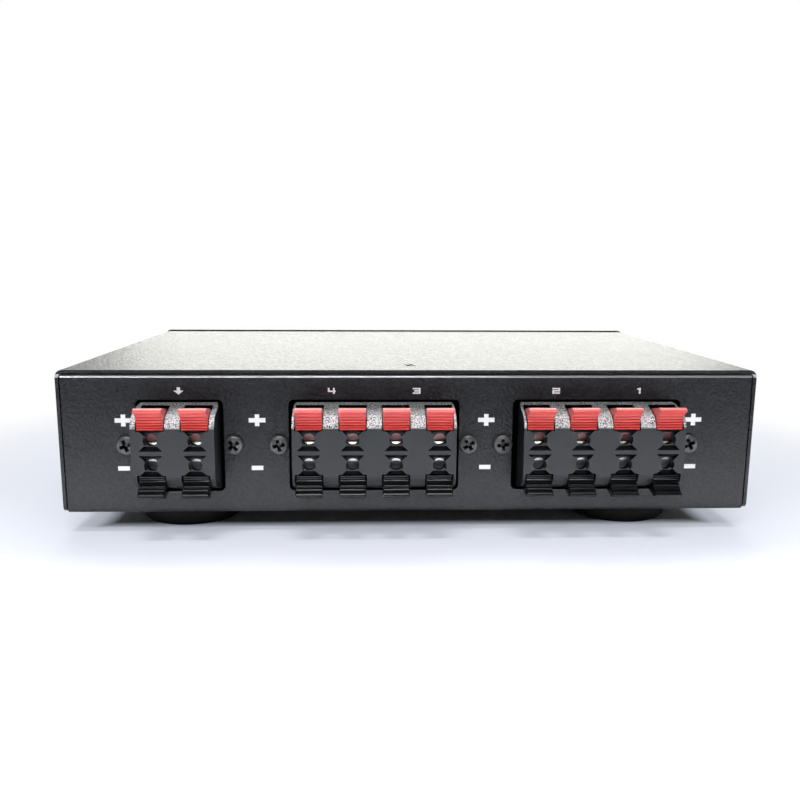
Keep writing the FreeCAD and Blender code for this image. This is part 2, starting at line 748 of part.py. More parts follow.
def terminal_housing(name, columns):
    """A moulded block of push terminals. Its own origin is the middle of the block, on the plane
    of the panel's outer face, and its back is toward +Y."""
    body = new_body("terminal_housing_" + name)
    half = block_half(columns)
    top = "(block_height / 2)"
    plateau = "(plateau_height / 2)"
    centres = [column_place(column, columns) for column in range(columns)]
    sketch = new_sketch(body, "YZ")
    outline(
        sketch,
        [
            ("block_depth", minus(top)),
            ("block_depth", top),
            ("0", top),
            ("-shoulder_reach", "shoulder_rise"),
            ("-block_reach", plateau),
            ("-block_reach", minus(plateau)),
            ("-shoulder_reach", "-shoulder_rise"),
            ("0", minus(top)),
        ],
        {3: ("-nose_reach", "nose_rise"), 5: ("-nose_reach", "-nose_rise")},
    )
    pad(body, sketch, f"2 * {half}", symmetric=True)
    end, roof = value(half), value(top)
    dress(
        body,
        "Fillet",
        "block_round",
        lambda edge, at: near(abs(at.x), end) and near(abs(at.z), roof),
    )
    # a flange behind the panel, with a boss at each end for a screw
    ears = [f"({side} * {ear_screw_place(columns)})" for side in (-1, 1)]
    sketch = new_sketch(body, "XZ", "-(steel_gauge + flange_thickness)")
    width = f"(2 * {ear_screw_place(columns)} + ear_width)"
    height = "(block_height + 2 * flange_margin)"
    rounded_rectangle(sketch, "0", "0", width, height, "cutout_corner")
    pad(body, sketch, "flange_thickness")
    sketch = new_sketch(body, "XZ", "-(steel_gauge + ear_boss_length)")
    for x in ears:
        circle(sketch, x, "ear_screw_rise", "ear_boss_radius")
    pad(body, sketch, "(ear_boss_length - flange_thickness / 2)")
    # a bow-tie recess at each hole, with a ramp down to the hole at each of its ends
    near_end, far_end = "funnel_base_rise", "(2 * wire_hole_rise - funnel_base_rise)"
    sketch = new_sketch(body, "XZ", "block_reach")
    for x in centres:
        for side in (-1, 1):
            heights = [f"({side} * {z})" for z in (near_end, "wire_hole_rise", far_end)]
            halves = ["funnel_mouth_half", "funnel_waist_half", "funnel_mouth_half"]
            left = [(f"({x} - {half})", z) for half, z in zip(halves, heights)]
            right = [(f"({x} + {half})", z) for half, z in zip(halves, heights)]
            outline(sketch, left + right[::-1])
    pocket(body, sketch, "funnel_depth")
    sketch = new_sketch(body, "YZ")
    throat = "(funnel_depth - block_reach)"
    for side in (-1, 1):
        for end, hand in ((near_end, -1), (far_end, 1)):
            hole_edge = f"({side} * (wire_hole_rise + {hand} * wire_hole_radius))"
            outline(
                sketch,
                [("-block_reach", f"({side} * {end})"), (throat, f"({side} * {end})"), (throat, hole_edge)],
            )
    pad(body, sketch, f"2 * {half}", symmetric=True)
    # a room for each lever, open at the back and, above the plateau, at the front
    rooms = (
        ("(-block_depth)", f"(block_depth + {WALL_BACK})", "(middle_rib / 2)"),
        (WALL_BACK, "(block_reach + cut_margin)", SLOT_FLOOR),
    )
    for start, length, floor in rooms:
        sketch = new_sketch(body, "XZ", start)
        for x in centres:
            left, right = f"({x} - {SLOT_HALF})", f"({x} + {SLOT_HALF})"
            rectangle(sketch, left, right, floor, ROOM_ROOF)
            rectangle(sketch, left, right, minus(ROOM_ROOF), minus(floor))
        pocket(body, sketch, length, reverse=True)
    # a wire hole into each room: a wider mouth as deep as the recess, then the throat
    for radius, depth in (
        ("wire_hole_radius", "funnel_depth"),
        ("wire_throat_radius", "(front_wall + cut_margin)"),
    ):
        sketch = new_sketch(body, "XZ", "block_reach")
        for x in centres:
            for side in (-1, 1):
                circle(sketch, x, f"({side} * wire_hole_rise)", radius)
        pocket(body, sketch, depth)
    # bearings for the levers, and pilot holes for the screws
    sketch = new_sketch(body, "YZ")
    for side in (-1, 1):
        circle(sketch, "pivot_depth", f"({side} * pivot_rise)", "(trunnion_radius + trunnion_gap)")
    pocket(body, sketch, f"(2 * {half} + 2 * cut_margin)", symmetric=True)
    sketch = new_sketch(body, "XZ", "0")
    for x in ears:
        circle(sketch, x, "ear_screw_rise", THREAD_HOLE)
    pocket(body, sketch, "(steel_gauge + ear_boss_length + cut_margin)")
    return body


def lever(label, side, trim, drop):
    """A terminal lever of the upper row (side 1) or the lower row (side -1). Its own origin is
    its block's, on the middle of its column. The lower levers' heads are shorter by the trim, and
    their tongues by the drop."""
    body = new_body(label)

    def up(formula):
        return f"({side} * {formula})"

    edge = ("(-block_reach)", "lever_edge_rise")
    waist = ("(-lever_waist_reach)", f"(lever_waist_rise - {trim})")
    lip = ("(-lever_tip_reach)", f"(lever_lip_rise - {trim})")
    # the hollow front runs from the edge over the waist to the lip, with fine grooves for grip
    front = []
    for start, end, grooves in ((edge, waist, GROOVES[0]), (waist, lip, GROOVES[1])):
        front.append((start[0], up(start[1])))
        for groove in range(grooves):
            for step, sunk in GROOVE_PROFILE:
                share = f"(({groove} + {step}) / {grooves})"
                y = f"({start[0]} + ({end[0]} - {start[0]}) * {share} + {sunk} * grip_depth)"
                z = f"({start[1]} + ({end[1]} - {start[1]}) * {share})"
                front.append((y, up(z)))
    hub_underside = "(pivot_rise - hub_radius / 2)"
    tongue_back = "(tongue_thickness - tongue_reach)"
    tongue_end = up(f"(tongue_end_rise + {drop})")
    sketch = new_sketch(body, "YZ")
    outline(
        sketch,
        front
        + [
            (lip[0], up(lip[1])),
            ("(lever_lip_slant - lever_tip_reach)", up(f"(lever_top_rise - {trim})")),
            ("-lever_back_reach", up(f"(lever_back_rise - {trim})")),
            ("-lever_back_reach", up("stem_top_rise")),
            ("pivot_depth", up("(pivot_rise + hub_radius)")),
            ("pivot_depth", up(hub_underside)),
            (tongue_back, up(hub_underside)),
            (tongue_back, tongue_end),
            ("-tongue_reach", tongue_end),
            ("-tongue_reach", up("lever_edge_rise")),
        ],
    )
    pad(body, sketch, "lever_width", symmetric=True)
    sketch = new_sketch(body, "YZ")
    circle(sketch, "pivot_depth", up("pivot_rise"), "hub_radius")
    pad(body, sketch, "lever_width", symmetric=True)
    # the sides narrow a little from the tip down to the tongue
    sketch = new_sketch(body, "XZ", "(lever_tip_reach + cut_margin)")
    for hand in (-1, 1):
        outline(
            sketch,
            [
                (f"({hand} * (lever_width / 2 - lever_taper))", "0"),
                (f"({hand} * (lever_width / 2 - lever_taper))", up("lever_edge_rise")),
                (f"({hand} * (lever_width / 2))", up("(lever_top_rise + cut_margin)")),
                (f"({hand} * (lever_width / 2 + cut_margin))", up("(lever_top_rise + cut_margin)")),
                (f"({hand} * (lever_width / 2 + cut_margin))", "0"),
            ],
        )
    pocket(body, sketch, "(lever_tip_reach + pivot_depth + hub_radius + 2 * cut_margin)")
    sketch = new_sketch(body, "YZ")
    circle(sketch, "pivot_depth", up("pivot_rise"), "trunnion_radius")
    pad(body, sketch, "(lever_width + 2 * trunnion_length)", symmetric=True)
    return body


def contact(label, side, drop):
    """A bent contact strip: a lip that leans back behind the wire hole, a run along the middle
    rib and a tail down to the board. The tails of the upper contacts stand behind those of the lower
    ones, whose lips are longer by the drop."""
    body = new_body(label)
    under = f"({side} * middle_rib / 2)"
    over = f"({side} * (middle_rib / 2 + contact_gauge))"
    lip = f"({side} * (middle_rib / 2 + contact_lip + {drop}))"
    front = "(-contact_reach)"
    back = "(block_depth + contact_tail_far)" if side > 0 else "(block_depth + contact_tail_near)"
    near_rib, far_rib = (under, over) if side > 0 else (over, under)
    foot = f"({BOARD_TOP} - {BLOCK_Z})"
    sketch = new_sketch(body, "YZ")
    outline(
        sketch,
        [
            (front, under),
            (f"({back} - contact_gauge)", under) if side > 0 else (back, under),
            (f"({back} - contact_gauge)", foot) if side > 0 else (back, foot),
            (back, foot) if side > 0 else (f"({back} - contact_gauge)", foot),
            (back, far_rib) if side > 0 else (f"({back} - contact_gauge)", near_rib),
            (f"({front} + contact_gauge)", over),
            (f"({front} + contact_gauge + contact_lean)", lip),
            (f"({front} + contact_lean)", lip),
        ],
    )
    pad(body, sketch, "contact_width", symmetric=True)
    return body


def lever_spring(label, side):
    """A folded leaf spring between the block's roof and a lever's stem."""
    body = new_body(label)
    fold = f"({ROOM_ROOF} - spring_fold)"
    tip = "(stem_top_rise - spring_seat)"
    bend = "(spring_length - spring_gauge)"
    sketch = new_sketch(body, "YZ")
    corners = [
        ("spring_start", ROOM_ROOF),
        ("spring_length", ROOM_ROOF),
        ("spring_length", fold),
        ("spring_start", tip),
        ("spring_start", f"({tip} + spring_gauge)"),
        (bend, f"({fold} + spring_gauge)"),
        (bend, f"({ROOM_ROOF} - spring_gauge)"),
        ("spring_start", f"({ROOM_ROOF} - spring_gauge)"),
    ]
    outline(sketch, [(y, f"({side} * {z})") for y, z in corners])
    pad(body, sketch, "spring_width", symmetric=True)
    return body


def circuit_board():
    """The board that joins the terminals' tails to the switches."""
    body = new_body("circuit_board")
    sketch = new_sketch(body, "XY", BOARD_UNDERSIDE)
    rectangle(sketch, minus(BOARD_HALF), BOARD_HALF, BOARD_START, BOARD_END)
    for x, y in SPACER_PLACES:
        circle(sketch, x, y, SHEET_HOLE)
    pad(body, sketch, "board_thickness")
    return body


def board_spacer(label):
    """A hexagonal spacer, threaded from end to end, standing on Z = 0."""
    body = new_body(label)
    sketch = new_sketch(body, "XY")
    across = "(spacer_radius * sqrt(3) / 2)"
    outline(
        sketch,
        [
            ("spacer_radius", "0"),
            ("(spacer_radius / 2)", across),
            ("(-spacer_radius / 2)", across),
            ("(-spacer_radius)", "0"),
            ("(-spacer_radius / 2)", minus(across)),
            ("(spacer_radius / 2)", minus(across)),
        ],
    )
    circle(sketch, "0", "0", THREAD_HOLE)
    pad(body, sketch, "spacer_height")
    return body


def square(sketch, half):
    rectangle(sketch, minus(half), half, minus(half), half)


def switch_body(label):
    """A latching push switch with a square guide. Its own origin is on the axis of its stem, at
    its front, and the stem comes out toward +Y."""
    body = new_body(label)
    sketch = new_sketch(body, "XZ", "0")
    wide, high = "(switch_width / 2)", "(switch_height / 2)"
    rectangle(sketch, minus(wide), wide, minus(high), high)
    pad(body, sketch, "switch_length")
    sketch = new_sketch(body, "XZ", "(stem_engagement + button_travel + stem_gap)")
    square(sketch, "(stem_size / 2 + stem_gap)")
    pocket(body, sketch, "(stem_engagement + button_travel + stem_gap + cut_margin)")
    return body


def button_stem(label):
    """The switch's square stem, from inside the switch to inside the cap."""
    body = new_body(label)
    sketch = new_sketch(body, "XZ", "stem_engagement")
    square(sketch, "(stem_size / 2)")
    pad(body, sketch, f"(stem_engagement + {CAP_BACK} + stem_socket)", reverse=True)
    return body


def button_cap(label):
    """A moulded cap that is pushed on the switch's stem."""
    body = new_body(label)
    front = "(switch_inset + fascia_thickness + button_reach)"
    sketch = new_sketch(body, "XZ", minus(front))
    rounded_rectangle(sketch, "0", "0", "button_width", "button_height", "button_corner")
    pad(body, sketch, f"({front} - {CAP_BACK})")
    face = value(front)
    dress(body, "Fillet", "button_round", lambda edge, at: near(at.y, face))
    sketch = new_sketch(body, "XZ", minus(CAP_BACK))
    square(sketch, "(stem_size / 2 + stem_gap)")
    pocket(body, sketch, "stem_socket")
    return body


def protection_resistor(label):
    """A ceramic power resistor with a lead at each end, standing on Z = 0."""
    body = new_body(label)
    half, side = "(resistor_length / 2)", "(resistor_size / 2)"
    sketch = new_sketch(body, "XY", "resistor_lift")
    rectangle(sketch, minus(half), half, minus(side), side)
    pad(body, sketch, "resistor_size")
    wire = "(resistor_lead / 2)"
    middle = "(resistor_lift + resistor_size / 2)"
    reach = f"({half} + resistor_lead_reach)"
    sketch = new_sketch(body, "XZ")
    for hand in (-1, 1):
        outline(
            sketch,
            [
                (f"({hand} * {half})", f"({middle} + {wire})"),
                (f"({hand} * {reach})", f"({middle} + {wire})"),
                (f"({hand} * {reach})", "0"),
                (f"({hand} * ({reach} - resistor_lead))", "0"),
                (f"({hand} * ({reach} - resistor_lead))", f"({middle} - {wire})"),
                (f"({hand} * {half})", f"({middle} - {wire})"),
            ],
        )
    pad(body, sketch, "resistor_lead", symmetric=True)
    return body


def make_blocks():
    """The three terminal blocks with their levers, contacts, springs and screws."""
    upper_lever = lever("upper_lever", 1, "0", "0")
    lower_lever = lever("lower_lever", -1, "lower_lever_trim", "lower_catch_drop")
    contacts = [contact("upper_contact", 1, "0"), contact("lower_contact", -1, "lower_catch_drop")]
    springs = [lever_spring("upper_spring", 1), lever_spring("lower_spring", -1)]
    screw = pan_screw("block_screw", "block_screw_length")
    nodes = []
    screws = []
    for name, (block_place, columns) in BLOCKS.items():
        housing = terminal_housing(name, columns)
        place(housing, block_place, TERMINAL_FACE, BLOCK_Z)
        nodes.append(housing)
        parts = {"contacts": [], "lever_springs": []}
        for column, column_name in enumerate(COLUMN_NAMES[name]):
            x = f"({block_place} + {column_place(column, columns)})"
            spot = (x, TERMINAL_FACE, BLOCK_Z)
            nodes.append(copy("lever_plus_" + column_name, upper_lever, *spot))
            nodes.append(copy("lever_minus_" + column_name, lower_lever, *spot))
            parts["contacts"] += [copy(f"{p.Label}_{column_name}", p, *spot) for p in contacts]
            parts["lever_springs"] += [copy(f"{p.Label}_{column_name}", p, *spot) for p in springs]
        nodes += [group(f"{kind}_{name}", links) for kind, links in parts.items()]
        for side in (-1, 1):
            x = f"({block_place} + {side} * {ear_screw_place(columns)})"
            label = f"block_screw_{name}_{side + 2}"
            screws.append(copy(label, screw, x, TERMINAL_FACE, EAR_Z, FACING_TERMINAL_SIDE))
    nodes.append(group("block_screws", screws))
    return nodes


def make_case():
    """The folded case with its fascia, its screws and its feet."""
    nodes = [base_chassis(), top_cover(), front_fascia()]
    screw = cone_screw("cover_screw", "cover_screw_length")
    screws = [copy("top_screw", screw, "0", TOP_SCREW_Y, CASE_TOP)]
    for side, facing in FACING_SIDE.items():
        for end in (-1, 1):
            x = f"({side} * case_width / 2)"
            y = f"({end} * side_screw_spacing / 2)"
            screws.append(copy(f"side_screw_{side + 2}_{end + 2}", screw, x, y, SIDE_SCREW_Z, facing))
    nodes.append(group("cover_screws", screws))
    screw = pan_screw("fascia_screw", "fascia_screw_length")
    back = f"({CONTROL_FACE} - steel_gauge)"
    screws = [
        copy(f"fascia_screw_{number}", screw, x, back, FASCIA_SCREW_Z, FACING_TERMINAL_SIDE)
        for number, x in enumerate(FASCIA_SCREW_PLACES, 1)
    ]
    nodes.append(group("fascia_screws", screws))
    foot = rubber_foot("foot")
    size = ("foot_screw_length", "foot_screw_radius", "foot_head_radius", "foot_head_height")
    screw = pan_screw("foot_screw", *size)
    screws = []
    for name, (x, y) in zip(FOOT_NAMES, FOOT_PLACES):
        nodes.append(copy("foot_" + name, foot, x, y, "0"))
        z = "(foot_height - foot_web)"
        screws.append(copy("foot_screw_" + name, screw, x, y, z, UPSIDE_DOWN))
    nodes.append(group("foot_screws", screws))
    return nodes


def make_electronics():
    """The circuit board with its spacers, switches, buttons and resistors."""
    nodes = [circuit_board()]
    spacer = board_spacer("board_spacer")
    screw = pan_screw("board_screw", "board_screw_length")
    spacers = []
    screws = []
    for number, (x, y) in enumerate(SPACER_PLACES, 1):
        spacers.append(copy(f"spacer_{number}", spacer, x, y, "(foot_height + steel_gauge)"))
        screws.append(copy(f"upper_board_screw_{number}", screw, x, y, BOARD_TOP))
        screws.append(copy(f"lower_board_screw_{number}", screw, x, y, "foot_height", UPSIDE_DOWN))
    nodes.append(group("board_spacers", spacers))
    nodes.append(group("board_screws", screws))
    masters = {
        "switch_body_": switch_body("push_switch"),
        "switch_stem_": button_stem("switch_stem"),
        "button_": button_cap("button_cap"),
    }
    for number, name in enumerate(BUTTON_NAMES):
        for label, master in masters.items():
            nodes.append(copy(label + name, master, button_place(number), SWITCH_FRONT, BUTTON_Z))
    resistor = protection_resistor("resistor")
    resistors = [
        copy(f"resistor_{end + 2}", resistor, "resistor_place", f"({end} * resistor_spacing / 2)", BOARD_TOP)
        for end in (-1, 1)
    ]
    nodes.append(group("protection_resistors", resistors))
    return nodes


def main():
    nodes = make_case() + make_blocks() + make_electronics()
    document.recompute()
    for thing in document.Objects:
        if "Invalid" in thing.State or "Error" in thing.State:
            raise RuntimeError(f"{thing.Label} is not sound")
    shapes = {node.Label: Part.getShape(node) for node in nodes}
    for label, shape in shapes.items():
        if shape.isNull() or not shape.isValid() or not shape.Solids:
            raise RuntimeError(f"{label} has no sound shape")
    os.makedirs("parts", exist_ok=True)
    for label, shape in shapes.items():
        shape.exportStep(f"parts/{label}.step")
    print(len(shapes), "parts written")


main()
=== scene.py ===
import math

import bmesh
import bpy
from mathutils import Euler, Matrix, Vector


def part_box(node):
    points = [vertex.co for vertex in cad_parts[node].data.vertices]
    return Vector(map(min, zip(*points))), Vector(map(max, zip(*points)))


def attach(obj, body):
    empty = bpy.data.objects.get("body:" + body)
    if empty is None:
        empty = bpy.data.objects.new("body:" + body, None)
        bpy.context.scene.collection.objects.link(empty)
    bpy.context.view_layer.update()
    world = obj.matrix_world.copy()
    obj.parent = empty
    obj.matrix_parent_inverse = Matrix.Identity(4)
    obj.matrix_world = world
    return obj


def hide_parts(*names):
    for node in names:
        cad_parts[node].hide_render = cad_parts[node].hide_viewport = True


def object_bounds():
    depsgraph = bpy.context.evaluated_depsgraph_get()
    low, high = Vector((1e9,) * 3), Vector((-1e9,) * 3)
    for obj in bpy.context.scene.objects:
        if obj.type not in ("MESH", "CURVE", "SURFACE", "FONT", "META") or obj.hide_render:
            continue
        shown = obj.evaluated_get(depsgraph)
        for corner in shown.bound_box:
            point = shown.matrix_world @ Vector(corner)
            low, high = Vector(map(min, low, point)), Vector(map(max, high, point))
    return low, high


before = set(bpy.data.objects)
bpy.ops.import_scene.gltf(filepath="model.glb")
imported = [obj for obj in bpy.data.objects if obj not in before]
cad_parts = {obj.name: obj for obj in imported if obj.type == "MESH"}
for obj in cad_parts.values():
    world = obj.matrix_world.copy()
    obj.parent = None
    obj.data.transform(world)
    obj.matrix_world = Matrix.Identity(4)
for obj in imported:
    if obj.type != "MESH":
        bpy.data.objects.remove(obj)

bl_info = {
    "name": "Speaker selector switch",
    "version": (1, 0, 0),
    "blender": (4, 5, 0),
    "location": "3D View > Sidebar > Selector",
    "description": "Finishes a four-way speaker selector: coated case, terminal blocks, screws and printing",
    "category": "Object",
}

MM = 0.001
CAD_LOW, CAD_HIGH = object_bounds()
CASE_BODY = "case"
PANEL_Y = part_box("base_chassis")[0].y


def nodes_named(start):
    """The names of the CAD nodes with a given start."""
    return [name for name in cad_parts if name.startswith(start)]


BLOCK_NODES = nodes_named("terminal_housing_")


def linear(code):
    """A six-digit sRGB hex colour as linear red, green, blue and alpha."""
    parts = [int(code[i : i + 2], 16) / 255 for i in (0, 2, 4)]
    return (*[p / 12.92 if p <= 0.04045 else ((p + 0.055) / 1.055) ** 2.4 for p in parts], 1.0)


# ---------------------------------------------------------------- sizes and colours


def length(name, description, default):
    return bpy.props.FloatProperty(
        name=name, description=description, default=default * MM, unit="LENGTH", precision=5
    )


def colour(name, description, code):
    return bpy.props.FloatVectorProperty(
        name=name, description=description, default=linear(code), size=4, subtype="COLOR", min=0, max=1
    )


def factor(name, description, default):
    return bpy.props.FloatProperty(
        name=name, description=description, default=default, min=0, max=1, subtype="FACTOR"
    )


def power(name, lamp, default):
    return bpy.props.FloatProperty(
        name=name, description=f"Power of the {lamp}, in watts", default=default, min=0
    )


class CaseFinish(bpy.types.PropertyGroup):
    coat: colour("Coat", "Colour of the powder coat", "191B1F")
    coat_roughness: factor("Coat roughness", "How dull the powder coat is", 0.34)
    wrinkle: length("Wrinkle", "Width of one wrinkle of the coat", 0.95)
    rubber: colour("Rubber", "Colour of the feet", "121214")


class BlockFinish(bpy.types.PropertyGroup):
    plastic: colour("Plastic", "Colour of the moulded blocks", "161A1E")
    foil: colour("Foil", "Colour of the silver foil on the upper curve", "E4E5E7")
    foil_grain: length("Foil grain", "Size of one bright grain of the foil", 0.35)
    red: colour("Red lever", "Colour of the plus levers", "DA4D49")
    black: colour("Black lever", "Colour of the minus levers", "08090B")
    nickel: colour("Contact", "Colour of the nickel-plated contacts", "D6D5D0")


class LeverSizes(bpy.types.PropertyGroup):
    width: length("Width", "Width of a lever's head at its top", 8.0)
    taper: length("Taper", "How much narrower each side is at the block", 0.15)
    ribs: bpy.props.IntProperty(
        name="Ribs", description="Number of grip ribs on the face", default=7, min=1
    )
    rib_depth: length("Rib depth", "Depth of the grooves between the ribs", 0.36)
    side_round: length("Side round", "How far the side edges are rounded off", 0.28)
    upper_trim: length("Upper trim", "How much lower the rims of the upper heads are", 0.4)
    lower_trim: length("Lower trim", "How much shorter the lower heads are", 0.65)


class ContactSizes(bpy.types.PropertyGroup):
    gauge: length("Gauge", "Thickness of the contact strip", 0.45)
    width: length("Width", "Width of the contact strip", 3.4)
    tooth: length("Tooth", "Height of the small teeth that bite the wire", 0.3)


class ScrewSizes(bpy.types.PropertyGroup):
    steel: colour("Screw", "Colour of the blackened screws", "626264")
    head_radius: length("Head radius", "Outer radius of a pan head", 3.0)
    head_height: length("Head height", "Height of a pan head", 2.1)
    cone_radius: length("Cone radius", "Outer radius of a countersunk head", 3.15)
    cross_reach: length("Cross reach", "Half the width of the cross recess at the surface", 2.35)
    cross_arm: length("Cross arm", "Width of one arm of the cross recess", 1.15)
    cross_depth: length("Cross depth", "Depth of the cross recess", 1.9)


class PrintSizes(bpy.types.PropertyGroup):
    ink: colour("Ink", "Colour of the printed marks", "FFFFFF")
    thickness: length("Thickness", "How far the ink stands up from the coat", 0.03)
    plus_width: length("Plus width", "Width of a plus sign", 5.0)
    plus_height: length("Plus height", "Height of a plus sign", 3.6)
    stroke: length("Stroke", "Width of the strokes of the signs", 1.35)
    minus_width: length("Minus width", "Width of a minus sign", 3.5)
    numeral_height: length("Numeral height", "Height of a numeral", 1.8)


class StageSettings(bpy.types.PropertyGroup):
    floor: colour("Floor", "Colour of the floor", "E9EBF2")
    top_light: power("Top light", "lamp overhead", 4.2)
    back_light: power("Back light", "lamp behind the object", 7.0)
    table_light: power("Table light", "hooded lamp over the tabletop", 14.5)
    front_light: power("Window light", "long lamp in front", 5.5)


# ---------------------------------------------------------------- tools for materials

# how a Mix node mixes colours: its inputs are then share 0, first 6 and second 7
COLOURS = {"output": 2, "data_type": "RGBA"}
# fine noise, whose scale is one over the width of a cell in metres
FINE = {"Detail": 3.0, "Roughness": 0.55}


def add(tree, kind, inputs=(), output=0, **settings):
    """Adds a node with its settings and links, and returns one of its outputs. Its inputs are in
    order, or by name or number, and each is a plain value or the output that feeds it."""
    node = tree.nodes.new("ShaderNode" + kind)
    for name, setting in settings.items():
        setattr(node, name, setting)
    for name, given in inputs.items() if isinstance(inputs, dict) else enumerate(inputs):
        if isinstance(given, bpy.types.NodeSocket):
            tree.links.new(given, node.inputs[name])
        else:
            node.inputs[name].default_value = given
    return node.outputs[output] if node.outputs else None


def new_material(name, shader_inputs):
    """A material with one Principled shader. Returns the material, its tree and the shader."""
    material = bpy.data.materials.new(name)
    material.use_nodes = True
    tree = material.node_tree
    tree.nodes.clear()
    surface = add(tree, "BsdfPrincipled", shader_inputs)
    add(tree, "OutputMaterial", {"Surface": surface})
    material.diffuse_color = surface.node.inputs["Base Color"].default_value
    return material, tree, surface.node


def feed(tree, shader, **sockets):
    """Links node outputs to the shader's sockets, whose names have underscores for spaces."""
    for name, output in sockets.items():
        tree.links.new(output, shader.inputs[name.replace("_", " ")])


def shade(plain, by):
    """The colour made lighter or darker by a factor."""
    return (*[min(1.0, part * by) for part in plain[:3]], 1.0)


def dress(nodes, material):
    """Gives CAD nodes a better material, in the slots that they have."""
    for name in nodes:
        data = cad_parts[name].data
        if not data.materials:
            data.materials.append(material)
        for i in range(len(data.materials)):
            data.materials[i] = material


# ---------------------------------------------------------------- materials


def powder_coated_steel(finish):
    """Sheet steel with a fine wrinkle powder coat: a near-black satin skin whose tiny ridges
    catch light, so that it sparkles finely near a window and looks pale at a low angle. Its colour
    is painted lighter on the ridges and darker between them, and a painted highlight runs along
    the terminal panel's top bend."""
    coat, rough = finish.coat, finish.coat_roughness
    material, tree, shader = new_material(
        "powder_coated_steel", {"Base Color": coat, "IOR": 1.5, "Roughness": rough}
    )
    place = add(tree, "TexCoord", output="Object")
    y, z = (add(tree, "SeparateXYZ", (place,), axis) for axis in "YZ")
    pattern = {"Scale": 1 / finish.wrinkle, "Detail": 2.0, "Roughness": 0.6, "Distortion": 0.4}
    wrinkle = add(tree, "TexNoise", {"Vector": place, **pattern})
    # the coat runs smoother low on the upright sheets, where it was sprayed thicker, and on the lid
    upright = add(tree, "MapRange", (z, 12 * MM, 44 * MM, 0.2, 1.0))
    lid_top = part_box("top_cover")[1].z
    lid = add(tree, "MapRange", (z, lid_top - 0.6 * MM, lid_top - 0.2 * MM, 1.0, 0.75))
    relief = add(tree, "Math", (upright, lid), operation="MULTIPLY")
    # a painted highlight runs along the terminal panel's top bend: there the coat is made pale, half
    # metallic, glossy and smooth
    panel_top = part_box("base_chassis")[1].z
    bend = add(tree, "MapRange", (z, panel_top - 1.05 * MM, panel_top - 0.85 * MM))
    under_lid = add(tree, "Math", (z, panel_top + 0.05 * MM), operation="LESS_THAN")
    on_panel = add(tree, "Math", (y, PANEL_Y + 3 * MM), operation="LESS_THAN")
    bend_highlight = add(tree, "Math", (bend, under_lid), operation="MULTIPLY")
    bend_highlight = add(tree, "Math", (bend_highlight, on_panel), operation="MULTIPLY")
    relief = add(tree, "Math", (relief, bend_highlight), operation="SUBTRACT", use_clamp=True)
    # painted light and shade: the coat's colour follows the wrinkles, lighter on their crests and darker
    # between them
    wrinkle_shading = add(tree, "MapRange", (wrinkle, 0.35, 0.65))
    skin = add(tree, "Mix", {0: wrinkle_shading, 6: shade(coat, 0.6), 7: shade(coat, 1.5)}, **COLOURS)
    dull = add(tree, "MapRange", (wrinkle, 0.3, 0.7, rough + 0.05, rough - 0.05))
    feed(
        tree,
        shader,
        Base_Color=add(tree, "Mix", {0: bend_highlight, 6: skin, 7: linear("C9CACE")}, **COLOURS),
        Metallic=add(tree, "MapRange", (bend_highlight, 0.0, 1.0, 0.0, 0.5)),
        Specular_IOR_Level=add(tree, "MapRange", (z, 10 * MM, 43 * MM, 0.62, 0.3)),
        Roughness=add(tree, "MapRange", (bend_highlight, 0.0, 1.0, dull, 0.08)),
        Normal=add(tree, "Bump", {"Height": wrinkle, "Distance": 0.6 * MM, "Strength": relief}),
    )
    return material


